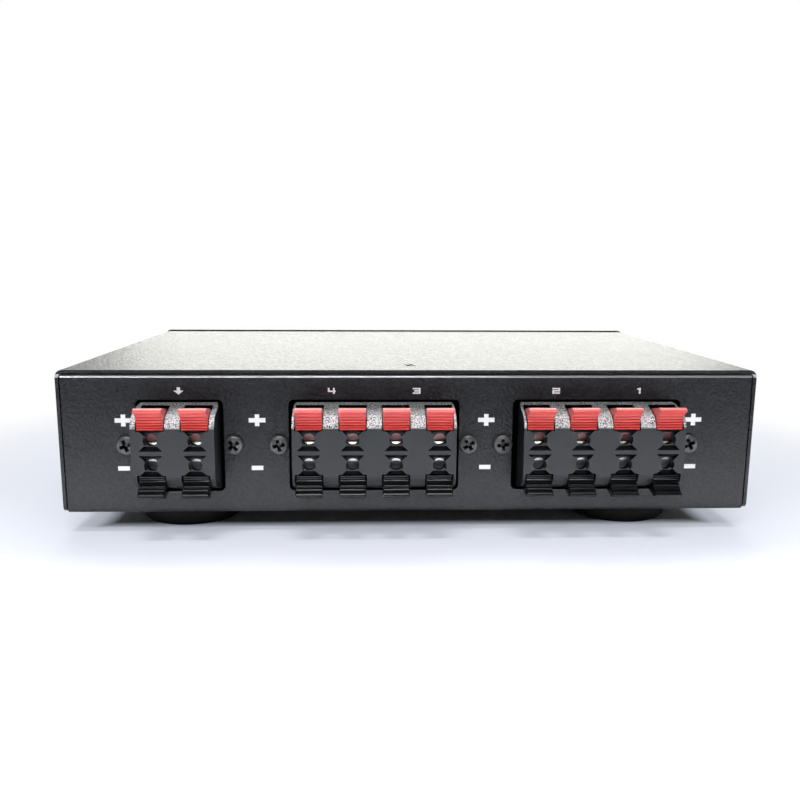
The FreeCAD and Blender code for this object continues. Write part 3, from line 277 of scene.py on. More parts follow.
def moulded_foiled_abs(finish):
    """Moulded black ABS with a fine spark-eroded grain. Silver foil is hot-stamped on the upper
    curve of each block, and wears through to the black in specks."""
    plastic = finish.plastic
    material, tree, shader = new_material(
        "moulded_foiled_abs", {"Base Color": plastic, "IOR": 1.53, "Roughness": 0.36}
    )
    place = add(tree, "TexCoord", output="Object")
    y, z = (add(tree, "SeparateXYZ", (place,), axis) for axis in "YZ")
    normal = add(tree, "NewGeometry", output="Normal")
    sideways, upward = (add(tree, "SeparateXYZ", (normal,), axis) for axis in "XZ")
    low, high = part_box(BLOCK_NODES[0])
    middle = (low.z + high.z) / 2
    # foil lies above the flat front, in front of the panel, on faces that look forward or up
    above = add(tree, "MapRange", (z, middle + 7.0 * MM, middle + 7.6 * MM))
    outside = add(tree, "Math", (y, PANEL_Y + 0.6 * MM), operation="LESS_THAN")
    sideways = add(tree, "Math", (sideways,), operation="ABSOLUTE")
    ahead = add(tree, "Math", (sideways, 0.5), operation="LESS_THAN")
    region = add(tree, "Math", (above, outside), operation="MULTIPLY")
    region = add(tree, "Math", (region, ahead), operation="MULTIPLY")
    pattern = {"Scale": 1 / finish.foil_grain, "Detail": 4.0, "Roughness": 0.7}
    specks = add(tree, "TexNoise", {"Vector": place, **pattern})
    kept = add(tree, "MapRange", (specks, 0.43, 0.53))
    foil = add(tree, "Math", (region, kept), operation="MULTIPLY")
    texture = add(tree, "TexNoise", {"Vector": place, "Scale": 1 / (0.3 * MM), **FINE})
    share = add(tree, "MapRange", (texture, 0.3, 0.7))
    grain = {0: share, 6: shade(plastic, 0.9), 7: shade(plastic, 1.12)}
    moulded = add(tree, "Mix", grain, **COLOURS)
    # faces that look up, such as the ramps into the wire holes, get painted shade: their colour is darkened
    # and they reflect less
    upward_shade = add(tree, "MapRange", (upward, 0.25, 0.5))
    moulded = add(tree, "Mix", {0: upward_shade, 6: moulded, 7: shade(plastic, 0.3)}, **COLOURS)
    # painted shade: behind the front wall the plastic is painted black and reflects nothing, so gaps and
    # holes look black
    inside = add(tree, "Math", (y, PANEL_Y + 0.3 * MM), operation="GREATER_THAN")
    moulded = add(tree, "Mix", {0: inside, 6: moulded, 7: shade(plastic, 0.05)}, **COLOURS)
    height = add(tree, "Math", (texture, specks), operation="ADD")
    strength = add(tree, "MapRange", (foil, 0.0, 1.0, 0.15, 0.9))
    feed(
        tree,
        shader,
        Base_Color=add(tree, "Mix", {0: foil, 6: moulded, 7: finish.foil}, **COLOURS),
        Metallic=add(tree, "Math", (foil, inside), operation="MAXIMUM"),
        Roughness=add(tree, "MapRange", (foil, 0.0, 1.0, 0.36, 0.5)),
        Specular_IOR_Level=add(tree, "MapRange", (upward_shade, 0.0, 1.0, 0.5, 0.12)),
        Normal=add(tree, "Bump", {"Height": height, "Distance": 0.2 * MM, "Strength": strength}),
    )
    return material


def tongue_share(tree, place):
    """One where a lever's tongue lies behind its wire hole, and nothing elsewhere."""
    y, z = (add(tree, "SeparateXYZ", (place,), axis) for axis in "YZ")
    deep = add(tree, "MapRange", (y, -7.2 * MM, -7.0 * MM))
    apart = add(tree, "Math", (z,), operation="ABSOLUTE")
    low = add(tree, "MapRange", (apart, 5.7 * MM, 5.9 * MM, 1.0, 0.0))
    return add(tree, "Math", (deep, low), operation="MULTIPLY")


def moulded_red_abs(finish):
    """Glossy moulded red ABS, which light enters a little way. Its pressed rim is painted pale as a
    painted highlight, the tongue is painted pale too, and painted shade darkens the grooves."""
    red = finish.red
    material, tree, shader = new_material(
        "moulded_red_abs",
        {
            "Base Color": red,
            "IOR": 1.53,
            "Roughness": 0.2,
            "Subsurface Weight": 0.12,
            "Subsurface Radius": (0.8, 0.12, 0.08),
            "Subsurface Scale": 1.2 * MM,
        },
    )
    place = add(tree, "TexCoord", output="Object")
    pattern = {"Scale": 1 / (4 * MM), "Detail": 2.0, "Roughness": 0.55}
    flow = add(tree, "MapRange", (add(tree, "TexNoise", {"Vector": place, **pattern}), 0.3, 0.7))
    skin = add(tree, "Mix", {0: flow, 6: shade(red, 0.95), 7: shade(red, 1.05)}, **COLOURS)
    z = add(tree, "SeparateXYZ", (place,), "Z")
    # painted highlight: the pressed rim's colour is blended toward a pale pink, and the tongue's too
    rim = add(tree, "MapRange", (z, 12.85 * MM, 13.1 * MM))
    pale_or_rounded = add(tree, "Math", (rim, tongue_share(tree, place)), operation="MAXIMUM")
    pale_or_rounded = add(tree, "Math", (pale_or_rounded, 0.75), operation="MULTIPLY")
    skin = add(tree, "Mix", {0: pale_or_rounded, 6: skin, 7: linear("D9A09C")}, **COLOURS)
    # painted shade: ambient occlusion darkens the colour in the grooves and hollows
    hollow = add(tree, "AmbientOcclusion", {"Distance": 0.6 * MM}, "AO", samples=8)
    open_share = add(tree, "MapRange", (hollow, 0.45, 0.85))
    haze = add(tree, "TexNoise", {"Vector": place, "Scale": 1 / (0.9 * MM), **FINE})
    ripple = add(tree, "TexNoise", {"Vector": place, "Scale": 1 / (0.5 * MM), **FINE})
    feed(
        tree,
        shader,
        Base_Color=add(tree, "Mix", {0: open_share, 6: shade(red, 0.35), 7: skin}, **COLOURS),
        Roughness=add(tree, "MapRange", (haze, 0.3, 0.7, 0.18, 0.26)),
        Normal=add(tree, "Bump", {"Height": ripple, "Distance": 0.006 * MM, "Strength": 0.4}),
    )
    return material


def moulded_black_abs(finish):
    """Glossy moulded black ABS with handling haze, so its ribs show as bright lines. The tongue
    that runs in behind the wire hole is painted a pale grey and is dull."""
    black = finish.black
    material, tree, shader = new_material(
        "moulded_black_abs", {"Base Color": black, "Specular IOR Level": 0.22, "Roughness": 0.2}
    )
    place = add(tree, "TexCoord", output="Object")
    haze = add(tree, "TexNoise", {"Vector": place, "Scale": 1 / (3 * MM), **FINE})
    share = add(tree, "MapRange", (haze, 0.3, 0.7))
    skin = add(tree, "Mix", {0: share, 6: black, 7: shade(black, 1.4)}, **COLOURS)
    dull = add(tree, "MapRange", (haze, 0.3, 0.7, 0.16, 0.26))
    tongue = tongue_share(tree, place)
    ripple = add(tree, "TexNoise", {"Vector": place, "Scale": 1 / (0.5 * MM), **FINE})
    feed(
        tree,
        shader,
        Base_Color=add(tree, "Mix", {0: tongue, 6: skin, 7: linear("8A9096")}, **COLOURS),
        Roughness=add(tree, "MapRange", (tongue, 0.0, 1.0, dull, 0.6)),
        Normal=add(tree, "Bump", {"Height": ripple, "Distance": 0.006 * MM, "Strength": 0.4}),
    )
    return material


def rolled_metal(name, tint, roughness, metallic=1.0, shaded_recesses=False):
    """Rolled strip or turned bar: faint lines along X from the tool, with a soft shine. With shaded
    recesses it is painted near black in its recesses and reflects less there, a painted shade."""
    material, tree, shader = new_material(
        name, {"Base Color": tint, "Metallic": metallic, "Roughness": roughness}
    )
    # real tool lines are 0.08 mm wide. They are drawn five times as coarse, so that they show, and
    # twenty times as long as they are wide.
    line = 0.08 * MM
    place = add(tree, "TexCoord", output="Object")
    along = add(tree, "Mapping", {"Vector": place, "Scale": (0.05 / line, 1 / line, 1 / line)})
    lines = add(tree, "TexNoise", {"Vector": along, "Scale": 0.2, "Detail": 2.0})
    share = add(tree, "MapRange", (lines, 0.3, 0.7))
    skin = add(tree, "Mix", {0: share, 6: shade(tint, 0.86), 7: shade(tint, 1.08)}, **COLOURS)
    dull = (lines, 0.3, 0.7, max(0.05, roughness - 0.06), roughness + 0.08)
    if shaded_recesses:
        # painted shade: ambient occlusion darkens the colour nearly to black in recesses, such as the cross,
        # and cuts their reflection
        hollow = add(tree, "AmbientOcclusion", {"Distance": 1.4 * MM}, "AO", samples=8)
        open_share = add(tree, "MapRange", (hollow, 0.5, 0.8))
        skin = add(tree, "Mix", {0: open_share, 6: shade(tint, 0.02), 7: skin}, **COLOURS)
        shine = add(tree, "MapRange", (hollow, 0.5, 0.8, 0.0, 0.5))
        feed(tree, shader, Specular_IOR_Level=shine)
    feed(
        tree,
        shader,
        Base_Color=skin,
        Roughness=add(tree, "MapRange", dull),
        Normal=add(tree, "Bump", {"Height": lines, "Distance": 0.01 * MM, "Strength": 0.35}),
    )
    return material


def speckled_solid(name, first, second, size, roughness, depth=0.01):
    """A dull body whose two close colours mottle at a real grain size, such as rubber with
    bloom, fired ceramic or unpolished moulded plastic. Size and depth are in mm."""
    material, tree, shader = new_material(
        name, {"Base Color": first, "IOR": 1.5, "Roughness": roughness}
    )
    place = add(tree, "TexCoord", output="Object")
    cells = add(tree, "TexNoise", {"Vector": place, "Scale": 1 / (size * MM), **FINE})
    share = add(tree, "MapRange", (cells, 0.3, 0.7))
    dull = (cells, 0.3, 0.7, roughness - 0.06, min(1.0, roughness + 0.06))
    feed(
        tree,
        shader,
        Base_Color=add(tree, "Mix", {0: share, 6: first, 7: second}, **COLOURS),
        Roughness=add(tree, "MapRange", dull),
        Normal=add(tree, "Bump", {"Height": cells, "Distance": depth * MM, "Strength": 0.5}),
    )
    return material


# ---------------------------------------------------------------- tools for pieces

LATHE_STEPS = 48
# points closer than this, in metres, are one point
SAME_PLACE = 1e-7


def put(name, data):
    """A new object of the scene that shows a mesh or a lamp."""
    piece = bpy.data.objects.new(name, data)
    bpy.context.scene.collection.objects.link(piece)
    return piece


def smooth(data, angle):
    """Shades a mesh smooth, apart from edges sharper than the angle in degrees."""
    for polygon in data.polygons:
        polygon.use_smooth = True
    data.set_sharp_from_angle(angle=math.radians(angle))


def keep_mesh(name, work, material, smooth_angle=None):
    """Turns a bmesh into an object of the scene."""
    data = bpy.data.meshes.new(name)
    bmesh.ops.recalc_face_normals(work, faces=work.faces)
    work.to_mesh(data)
    work.free()
    data.materials.append(material)
    if smooth_angle:
        smooth(data, smooth_angle)
    return put(name, data)


def lathe(work, profile):
    """Turns a half profile of (radius, height) points round Z. Ends on the axis are closed."""
    rings = []
    turns = [2 * math.pi * i / LATHE_STEPS for i in range(LATHE_STEPS)]
    for radius, height in profile:
        if radius < SAME_PLACE:
            rings.append([work.verts.new((0, 0, height))] * LATHE_STEPS)
        else:
            ring = [(radius * math.cos(turn), radius * math.sin(turn), height) for turn in turns]
            rings.append([work.verts.new(point) for point in ring])
    for lower, upper in zip(rings, rings[1:]):
        for i in range(LATHE_STEPS):
            j = (i + 1) % LATHE_STEPS
            corners = []
            for vertex in (lower[i], lower[j], upper[j], upper[i]):
                if vertex not in corners:
                    corners.append(vertex)
            if len(corners) > 2:
                work.faces.new(corners)


def carve(piece, tool):
    """Cuts the tool from the piece and removes the tool."""
    cut = piece.modifiers.new("cut", "BOOLEAN")
    cut.operation = "DIFFERENCE"
    cut.solver = "EXACT"
    cut.object = tool
    bpy.context.view_layer.update()
    result = bpy.data.meshes.new_from_object(piece.evaluated_get(bpy.context.evaluated_depsgraph_get()))
    piece.modifiers.remove(cut)
    old = piece.data
    piece.data = result
    bpy.data.meshes.remove(old)
    bpy.data.objects.remove(tool)


def cross_tool(sizes, top, material):
    """A tapered cross, point down, whose widest section is just above the given height."""
    work = bmesh.new()
    reach, arm = sizes.cross_reach, sizes.cross_arm / 2
    sections = []
    for height, scale, thin in ((top + 0.3 * MM, 1.0, 1.0), (top - sizes.cross_depth, 0.4, 0.75)):
        r, a = reach * scale, min(arm * thin, reach * scale * 0.8)
        outline = [(a, a), (r, a), (r, -a), (a, -a), (a, -r), (-a, -r)]
        outline += [(-x, -y) for x, y in outline]
        sections.append([(x, y, height) for x, y in outline])
    sweep(work, sections)
    return keep_mesh("cross_tool", work, material)


def screw_mesh(name, sizes, profile, top, material):
    """A screw's mesh with a cross recess, whose own Z axis points out of its head."""
    work = bmesh.new()
    lathe(work, profile)
    piece = keep_mesh(name, work, material)
    carve(piece, cross_tool(sizes, top, material))
    data = piece.data
    bpy.data.objects.remove(piece)
    smooth(data, 32)
    return data


def join_copies(name, data, places, body, replaces):
    """One piece made of turned copies of a mesh, which stands for a node."""
    work = bmesh.new()
    for matrix in places:
        part = data.copy()
        part.transform(matrix)
        work.from_mesh(part)
        bpy.data.meshes.remove(part)
    whole = data.copy()
    work.to_mesh(whole)
    work.free()
    whole.name = name
    piece = put(name, whole)
    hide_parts(replaces)
    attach(piece, body)


def sweep(work, sections):
    """Joins closed sections with equally many points, end to end, and caps both ends."""
    rings = [[work.verts.new(point) for point in section] for section in sections]
    for first, second in zip(rings, rings[1:]):
        for i in range(len(first)):
            j = (i + 1) % len(first)
            work.faces.new((first[i], first[j], second[j], second[i]))
    work.faces.new(rings[0])
    work.faces.new(rings[-1])


def columns(block):
    """The middle of each column of a block, from the levers that stand in it."""
    low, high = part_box("terminal_housing_" + block)
    boxes = [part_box(name) for name in nodes_named("lever_plus_")]
    middles = [(left.x + right.x) / 2 for left, right in boxes]
    return sorted(x for x in middles if low.x < x < high.x)


def islands(node):
    """The box of each separate solid of a CAD node, as (low, high) corners."""
    work = bmesh.new()
    work.from_mesh(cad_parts[node].data)
    bmesh.ops.remove_doubles(work, verts=work.verts, dist=SAME_PLACE)
    seen, boxes = set(), []
    for start in work.verts:
        if start in seen:
            continue
        seen.add(start)
        stack, found = [start], []
        while stack:
            vertex = stack.pop()
            found.append(vertex.co.copy())
            for edge in vertex.link_edges:
                other = edge.other_vert(vertex)
                if other not in seen:
                    seen.add(other)
                    stack.append(other)
        low = Vector(min(p[i] for p in found) for i in range(3))
        high = Vector(max(p[i] for p in found) for i in range(3))
        boxes.append((low, high))
    work.free()
    return sorted(boxes, key=lambda b: tuple(b[0]))


# ---------------------------------------------------------------- operators


class SELECTOR_OT_case(bpy.types.Operator):
    """Coats the folded case and the front plate"""

    bl_idname = "selector.case"
    bl_label = "Coat the case"

    def execute(self, context):
        finish = context.scene.selector_case
        dress(["base_chassis", "top_cover", "front_fascia"], powder_coated_steel(finish))
        return {"FINISHED"}


class SELECTOR_OT_feet(bpy.types.Operator):
    """Gives the round feet their rubber"""

    bl_idname = "selector.feet"
    bl_label = "Finish the feet"

    def execute(self, context):
        rubber = context.scene.selector_case.rubber
        material = speckled_solid("moulded_rubber", rubber, shade(rubber, 1.7), 1.2, 0.72, 0.02)
        dress([name for name in nodes_named("foot_") if name != "foot_screws"], material)
        return {"FINISHED"}


class SELECTOR_OT_blocks(bpy.types.Operator):
    """Finishes the moulded terminal blocks with their silver foil"""

    bl_idname = "selector.blocks"
    bl_label = "Finish the terminal blocks"

    def execute(self, context):
        dress(BLOCK_NODES, moulded_foiled_abs(context.scene.selector_block))
        return {"FINISHED"}


class SELECTOR_OT_levers(bpy.types.Operator):
    """Makes the twenty ribbed levers"""

    bl_idname = "selector.levers"
    bl_label = "Make the levers"

    # the hollow face from the block's edge to the rim, as a curve's end and handles in mm
    FACE = ((-10.0, 6.8), (-9.55, 8.3), (-8.9, 10.4))
    # the slanted rim that a thumb presses
    RIM = ((-12.3, 12.78), (-12.42, 12.92), (-12.36, 13.08), (-11.3, 13.84), (-11.0, 13.9))
    # the back of the head, the top, the pivot end and the underside
    REST = ((-5.2, 12.6), (-5.2, 10.2), (4.0, 8.6), (4.0, 5.9), (-3.9, 5.9))
    TONGUE = ((-3.9, 2.7), (-5.3, 2.7), (-5.3, 6.8))
    PIVOT, HUB, TRUNNION = (4.0, 6.8), 1.8, 1.0
    # how far a trunnion stands out from the head's widest side, in mm, and the sides of its circle
    TRUNNION_REACH, ROUND = 0.75, 24
    # the head narrows toward the block below this height over this run, in mm
    HEAD_TOP, TAPER_RUN = 14.9, 8.1
    # the tongue's points below this height, in mm, are the ones at its tip
    TIP_BELOW = 5
    # the face has this many points to a rib, and a groove's wall takes this share of the rib
    STEPS, WALL = 6, 0.25

    def side_view(self, sizes, trim, drop):
        """A lever's outline as (y, z) points in metres, and how deep each point is grooved."""
        rim = [(y * MM, z * MM - trim) for y, z in self.RIM]
        first, near, far = ((y * MM, z * MM) for y, z in self.FACE)
        far = (far[0], far[1] - trim)
        outline, grooves = [], []
        total = sizes.ribs * self.STEPS
        for i in range(total):
            t = i / total
            weights = ((1 - t) ** 3, 3 * t * (1 - t) ** 2, 3 * t * t * (1 - t), t**3)
            corners = (first, near, far, rim[0])
            outline.append(tuple(sum(w * c[k] for w, c in zip(weights, corners)) for k in (0, 1)))
            apart = min(i % self.STEPS, -i % self.STEPS) / self.STEPS
            grooves.append(sizes.rib_depth * max(0.0, 1 - apart / self.WALL) * (i > 0))
        rest = [(y * MM, z * MM - (trim if i == 0 else 0)) for i, (y, z) in enumerate(self.REST)]
        tongue = [(y * MM, (z + (drop if z < self.TIP_BELOW else 0)) * MM) for y, z in self.TONGUE]
        outline += rim + rest + tongue
        grooves += [0.0] * (len(outline) - len(grooves))
        return outline, grooves

    def lever_mesh(self, name, sizes, side, trim, drop, material):
        """One lever, whose origin is its block's middle on the panel's face."""
        outline, grooves = self.side_view(sizes, trim, drop)
        inward = []
        for i in range(len(outline)):
            before, after = outline[i - 1], outline[(i + 1) % len(outline)]
            step = Vector((after[0] - before[0], after[1] - before[1])).normalized()
            inward.append((step.y, -step.x))

        def section(hand, edge, depths):
            points = []
            for (y, z), (in_y, in_z), depth in zip(outline, inward, depths):
                share = min(1.0, max(0.0, (self.HEAD_TOP * MM - z) / (self.TAPER_RUN * MM)))
                x = sizes.width / 2 - sizes.taper * share - edge
                points.append((hand * x, y + in_y * depth, side * (z + in_z * depth)))
            return points

        # only the ribbed face has its side edges rounded off
        ribbed = range(1, sizes.ribs * self.STEPS)
        pale_or_rounded = [max(sizes.side_round, depth) if i in ribbed else 0.0 for i, depth in enumerate(grooves)]
        work = bmesh.new()
        edge = sizes.side_round
        stations = ((-1, 0, pale_or_rounded), (-1, edge, grooves), (1, edge, grooves), (1, 0, pale_or_rounded))
        sweep(work, [section(*station) for station in stations])
        # the hub and the trunnions that the lever turns on
        half = sizes.width / 2
        pivot_y, pivot_z = self.PIVOT[0] * MM, side * self.PIVOT[1] * MM
        turns = [math.radians(360 / self.ROUND * i) for i in range(self.ROUND)]
        hub_end, trunnion_end = half - sizes.taper, half + self.TRUNNION_REACH * MM
        for radius, end in ((self.HUB, hub_end), (self.TRUNNION, trunnion_end)):
            r = radius * MM
            ring = [(pivot_y + r * math.cos(turn), pivot_z + r * math.sin(turn)) for turn in turns]
            sweep(work, [[(x, y, z) for y, z in ring] for x in (-end, end)])
        piece = keep_mesh(name, work, material, smooth_angle=38)
        data = piece.data
        bpy.data.objects.remove(piece)
        return data

    def execute(self, context):
        finish, sizes = context.scene.selector_block, context.scene.selector_lever
        kinds = (
            ("lever_plus_", 1, sizes.upper_trim, 0.0, moulded_red_abs(finish), "lever_red"),
            ("lever_minus_", -1, sizes.lower_trim, 0.8, moulded_black_abs(finish), "lever_black"),
        )
        low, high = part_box(BLOCK_NODES[0])
        for start, side, trim, drop, material, slot in kinds:
            data = self.lever_mesh(start + "moulding", sizes, side, trim, drop, material)
            for node in nodes_named(start):
                left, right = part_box(node)
                piece = put(node + "_ribbed", data)
                piece.location = ((left.x + right.x) / 2, PANEL_Y, (low.z + high.z) / 2)
                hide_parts(node)
                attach(piece, node)
        return {"FINISHED"}


class SELECTOR_OT_contacts(bpy.types.Operator):
    """Makes the plated contacts with their toothed lips and finishes the leaf springs"""

    bl_idname = "selector.contacts"
    bl_label = "Make the contacts"

    # where each row's strip runs, in mm: side, lean of the lip, lip's end, and the tail's place
    ROWS = ((1, 0.5, 2.5, 15.0), (-1, 0.15, 3.4, 12.4))
    FRONT, RUN, FOOT = -6.0, 1.1, -6.2
    # the strip's inner bend is this far round, cut by a chamfer this deep
    BEND, CHAMFER = 0.3, 0.1
    TEETH = 4

    def strip(self, work, sizes, x, middle, row):
        """Adds one bent strip: a tail up from the board, a run along the rib and a toothed lip."""
        side, lean, lip, tail = row
        gauge = sizes.gauge / MM
        under, over = self.RUN, self.RUN + gauge
        heel, toe = (tail - gauge, self.FOOT), (tail, self.FOOT)
        if side > 0:
            tail_path = [(tail - gauge, under), heel, toe, (tail, over)]
        else:
            tail_path = [(tail, -under), toe, heel, (tail - gauge, -over)]
        sections = []
        stations = 2 * self.TEETH
        for i in range(stations + 1):
            end = lip - (0 if i % 2 else sizes.tooth / MM)
            lip_path = [
                (self.FRONT + gauge, side * over),
                (self.FRONT + gauge + lean, side * end),
                (self.FRONT + lean, side * end),
                (self.FRONT, side * (under + self.BEND)),
                (self.FRONT + self.CHAMFER, side * (under + self.CHAMFER)),
                (self.FRONT + self.BEND, side * under),
            ]
            across = x + sizes.width * (i / stations - 0.5)
            sections.append([(across, PANEL_Y + y * MM, middle + z * MM) for y, z in lip_path + tail_path])
        sweep(work, sections)

    def execute(self, context):
        finish, sizes = context.scene.selector_block, context.scene.selector_contact
        plated = rolled_metal("nickel_plated_brass", finish.nickel, 0.3, metallic=0.75)
        for block in ("input", "4_3", "2_1"):
            low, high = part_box("terminal_housing_" + block)
            work = bmesh.new()
            for x in columns(block):
                for row in self.ROWS:
                    self.strip(work, sizes, x, (low.z + high.z) / 2, row)
            piece = keep_mesh("toothed_contacts_" + block, work, plated, smooth_angle=30)
            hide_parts("contacts_" + block)
            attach(piece, CASE_BODY)
        spring = rolled_metal("rolled_spring_steel", linear("9A9A9C"), 0.35)
        dress(nodes_named("lever_springs_"), spring)
        return {"FINISHED"}


class SELECTOR_OT_block_screws(bpy.types.Operator):
    """Makes the pan head screws beside the terminal blocks"""

    bl_idname = "selector.block_screws"
    bl_label = "Make the block screws"

    # the shank's half profile as (radius, height) in mm, and each screw's turn in degrees
    SHANK = ((0, -6.9), (1.1, -6.9), (1.45, -6.5), (1.45, 0.0))
    TURNS = (20, 38, 12, 33, 7, 26)
    # the head's flange and crown in shares of its radius and height
    FLANGE = ((0.97, 0.0), (1.0, 0.06))
    CROWN = ((0.45, 0.93), (0.2, 0.99), (0.0, 1.0))
    DOME_STEPS = 8

    def execute(self, context):
        sizes = context.scene.selector_screw
        black = rolled_metal("blackened_steel", sizes.steel, 0.36, metallic=0.6, shaded_recesses=True)
        r, h = sizes.head_radius, sizes.head_height
        rows = [(radius * MM, height * MM) for radius, height in self.SHANK]
        rows += [(r * out, h * up) for out, up in self.FLANGE]
        # the pan head's side stands nearly straight and its top is a low dome
        for step in range(self.DOME_STEPS + 1):
            angle = math.radians(90 * step / self.DOME_STEPS)
            rows.append((r * (0.985 - 0.27 * (1 - math.cos(angle))), h * (0.3 + 0.42 * math.sin(angle))))
        rows += [(r * out, h * up) for out, up in self.CROWN]
        data = screw_mesh("block_screw", sizes, rows, h, black)
        places = []
        for (low, high), turn in zip(islands("block_screws"), self.TURNS):
            head = Vector(((low.x + high.x) / 2, PANEL_Y, (low.z + high.z) / 2))
            facing = Euler((math.radians(90), 0, 0)).to_matrix().to_4x4()
            spin = Matrix.Rotation(math.radians(turn), 4, "Z")
            places.append(Matrix.Translation(head) @ facing @ spin)
        join_copies("block_screw_heads", data, places, CASE_BODY, "block_screws")
        return {"FINISHED"}


class SELECTOR_OT_cover_screws(bpy.types.Operator):
    """Makes the countersunk screws of the lid"""

    bl_idname = "selector.cover_screws"
    bl_label = "Make the lid's screws"

    # the shank's half profile as (radius, height) in mm, and that of the head's edge, inward from it
    SHANK = ((0, -5.95), (1.1, -5.95), (1.45, -5.5), (1.45, -1.7))
    HEAD_EDGE = ((0.12, -0.18), (0.04, -0.06), (0.14, -0.01))
    # the first screw's turn and what each next one adds, in degrees
    FIRST_TURN, NEXT_TURN = 17, 23

    def execute(self, context):
        sizes = context.scene.selector_screw
        black = rolled_metal("blackened_countersunk_steel", shade(sizes.steel, 0.8), 0.4, metallic=0.85)
        rows = [(radius * MM, height * MM) for radius, height in self.SHANK]
        rows += [(sizes.cone_radius - inward * MM, height * MM) for inward, height in self.HEAD_EDGE]
        rows.append((0, rows[-1][1]))
        data = screw_mesh("cover_screw", sizes, rows, 0.0, black)
        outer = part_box("top_cover")
        places = []
        for index, (low, high) in enumerate(islands("cover_screws")):
            centre = (low + high) / 2
            if low.z > (outer[0].z + outer[1].z) / 2:
                head, facing = Vector((centre.x, centre.y, high.z)), Matrix.Identity(4)
            else:
                side = 1 if centre.x > 0 else -1
                head = Vector((high.x if side > 0 else low.x, centre.y, centre.z))
                facing = Matrix.Rotation(math.radians(90 * side), 4, "Y")
            spin = Matrix.Rotation(math.radians(self.FIRST_TURN + self.NEXT_TURN * index), 4, "Z")
            places.append(Matrix.Translation(head) @ facing @ spin)
        join_copies("cover_screw_heads", data, places, CASE_BODY, "cover_screws")
        return {"FINISHED"}


class SELECTOR_OT_inner_screws(bpy.types.Operator):
    """Finishes the plated screws of the feet, the front plate and the board"""

    bl_idname = "selector.inner_screws"
    bl_label = "Finish the plated screws"

    def execute(self, context):
        plated = rolled_metal("zinc_plated_steel", linear("B4B6B8"), 0.3)
        dress(["foot_screws", "fascia_screws", "board_screws"], plated)
        return {"FINISHED"}


class SELECTOR_OT_electronics(bpy.types.Operator):
    """Finishes the circuit board, its spacers, the switches and the resistors"""

    bl_idname = "selector.electronics"
    bl_label = "Finish the electronics"

    def execute(self, context):
        board = speckled_solid("solder_masked_laminate", linear("14502A"), linear("1B6335"), 2.5, 0.32)
        dress(["circuit_board"], board)
        dress(["board_spacers"], rolled_metal("turned_brass", linear("C9A24A"), 0.28))
        body = speckled_solid("moulded_phenolic", linear("17181A"), linear("202123"), 0.6, 0.5)
        dress(nodes_named("switch_body_"), body)
        stem = speckled_solid("moulded_nylon", linear("D9D8CF"), linear("E4E3DB"), 3, 0.4)
        dress(nodes_named("switch_stem_"), stem)
        ceramic = speckled_solid("fired_ceramic", linear("D5D2C6"), linear("E3E0D6"), 0.8, 0.75, 0.03)
        dress(["protection_resistors"], ceramic)
        return {"FINISHED"}


class SELECTOR_OT_buttons(bpy.types.Operator):
    """Finishes the caps of the push buttons"""

    bl_idname = "selector.buttons"
    bl_label = "Finish the buttons"

    def execute(self, context):
        cap = speckled_solid("moulded_button_abs", linear("141517"), linear("1C1D20"), 0.5, 0.38)
        dress(nodes_named("button_"), cap)
        return {"FINISHED"}


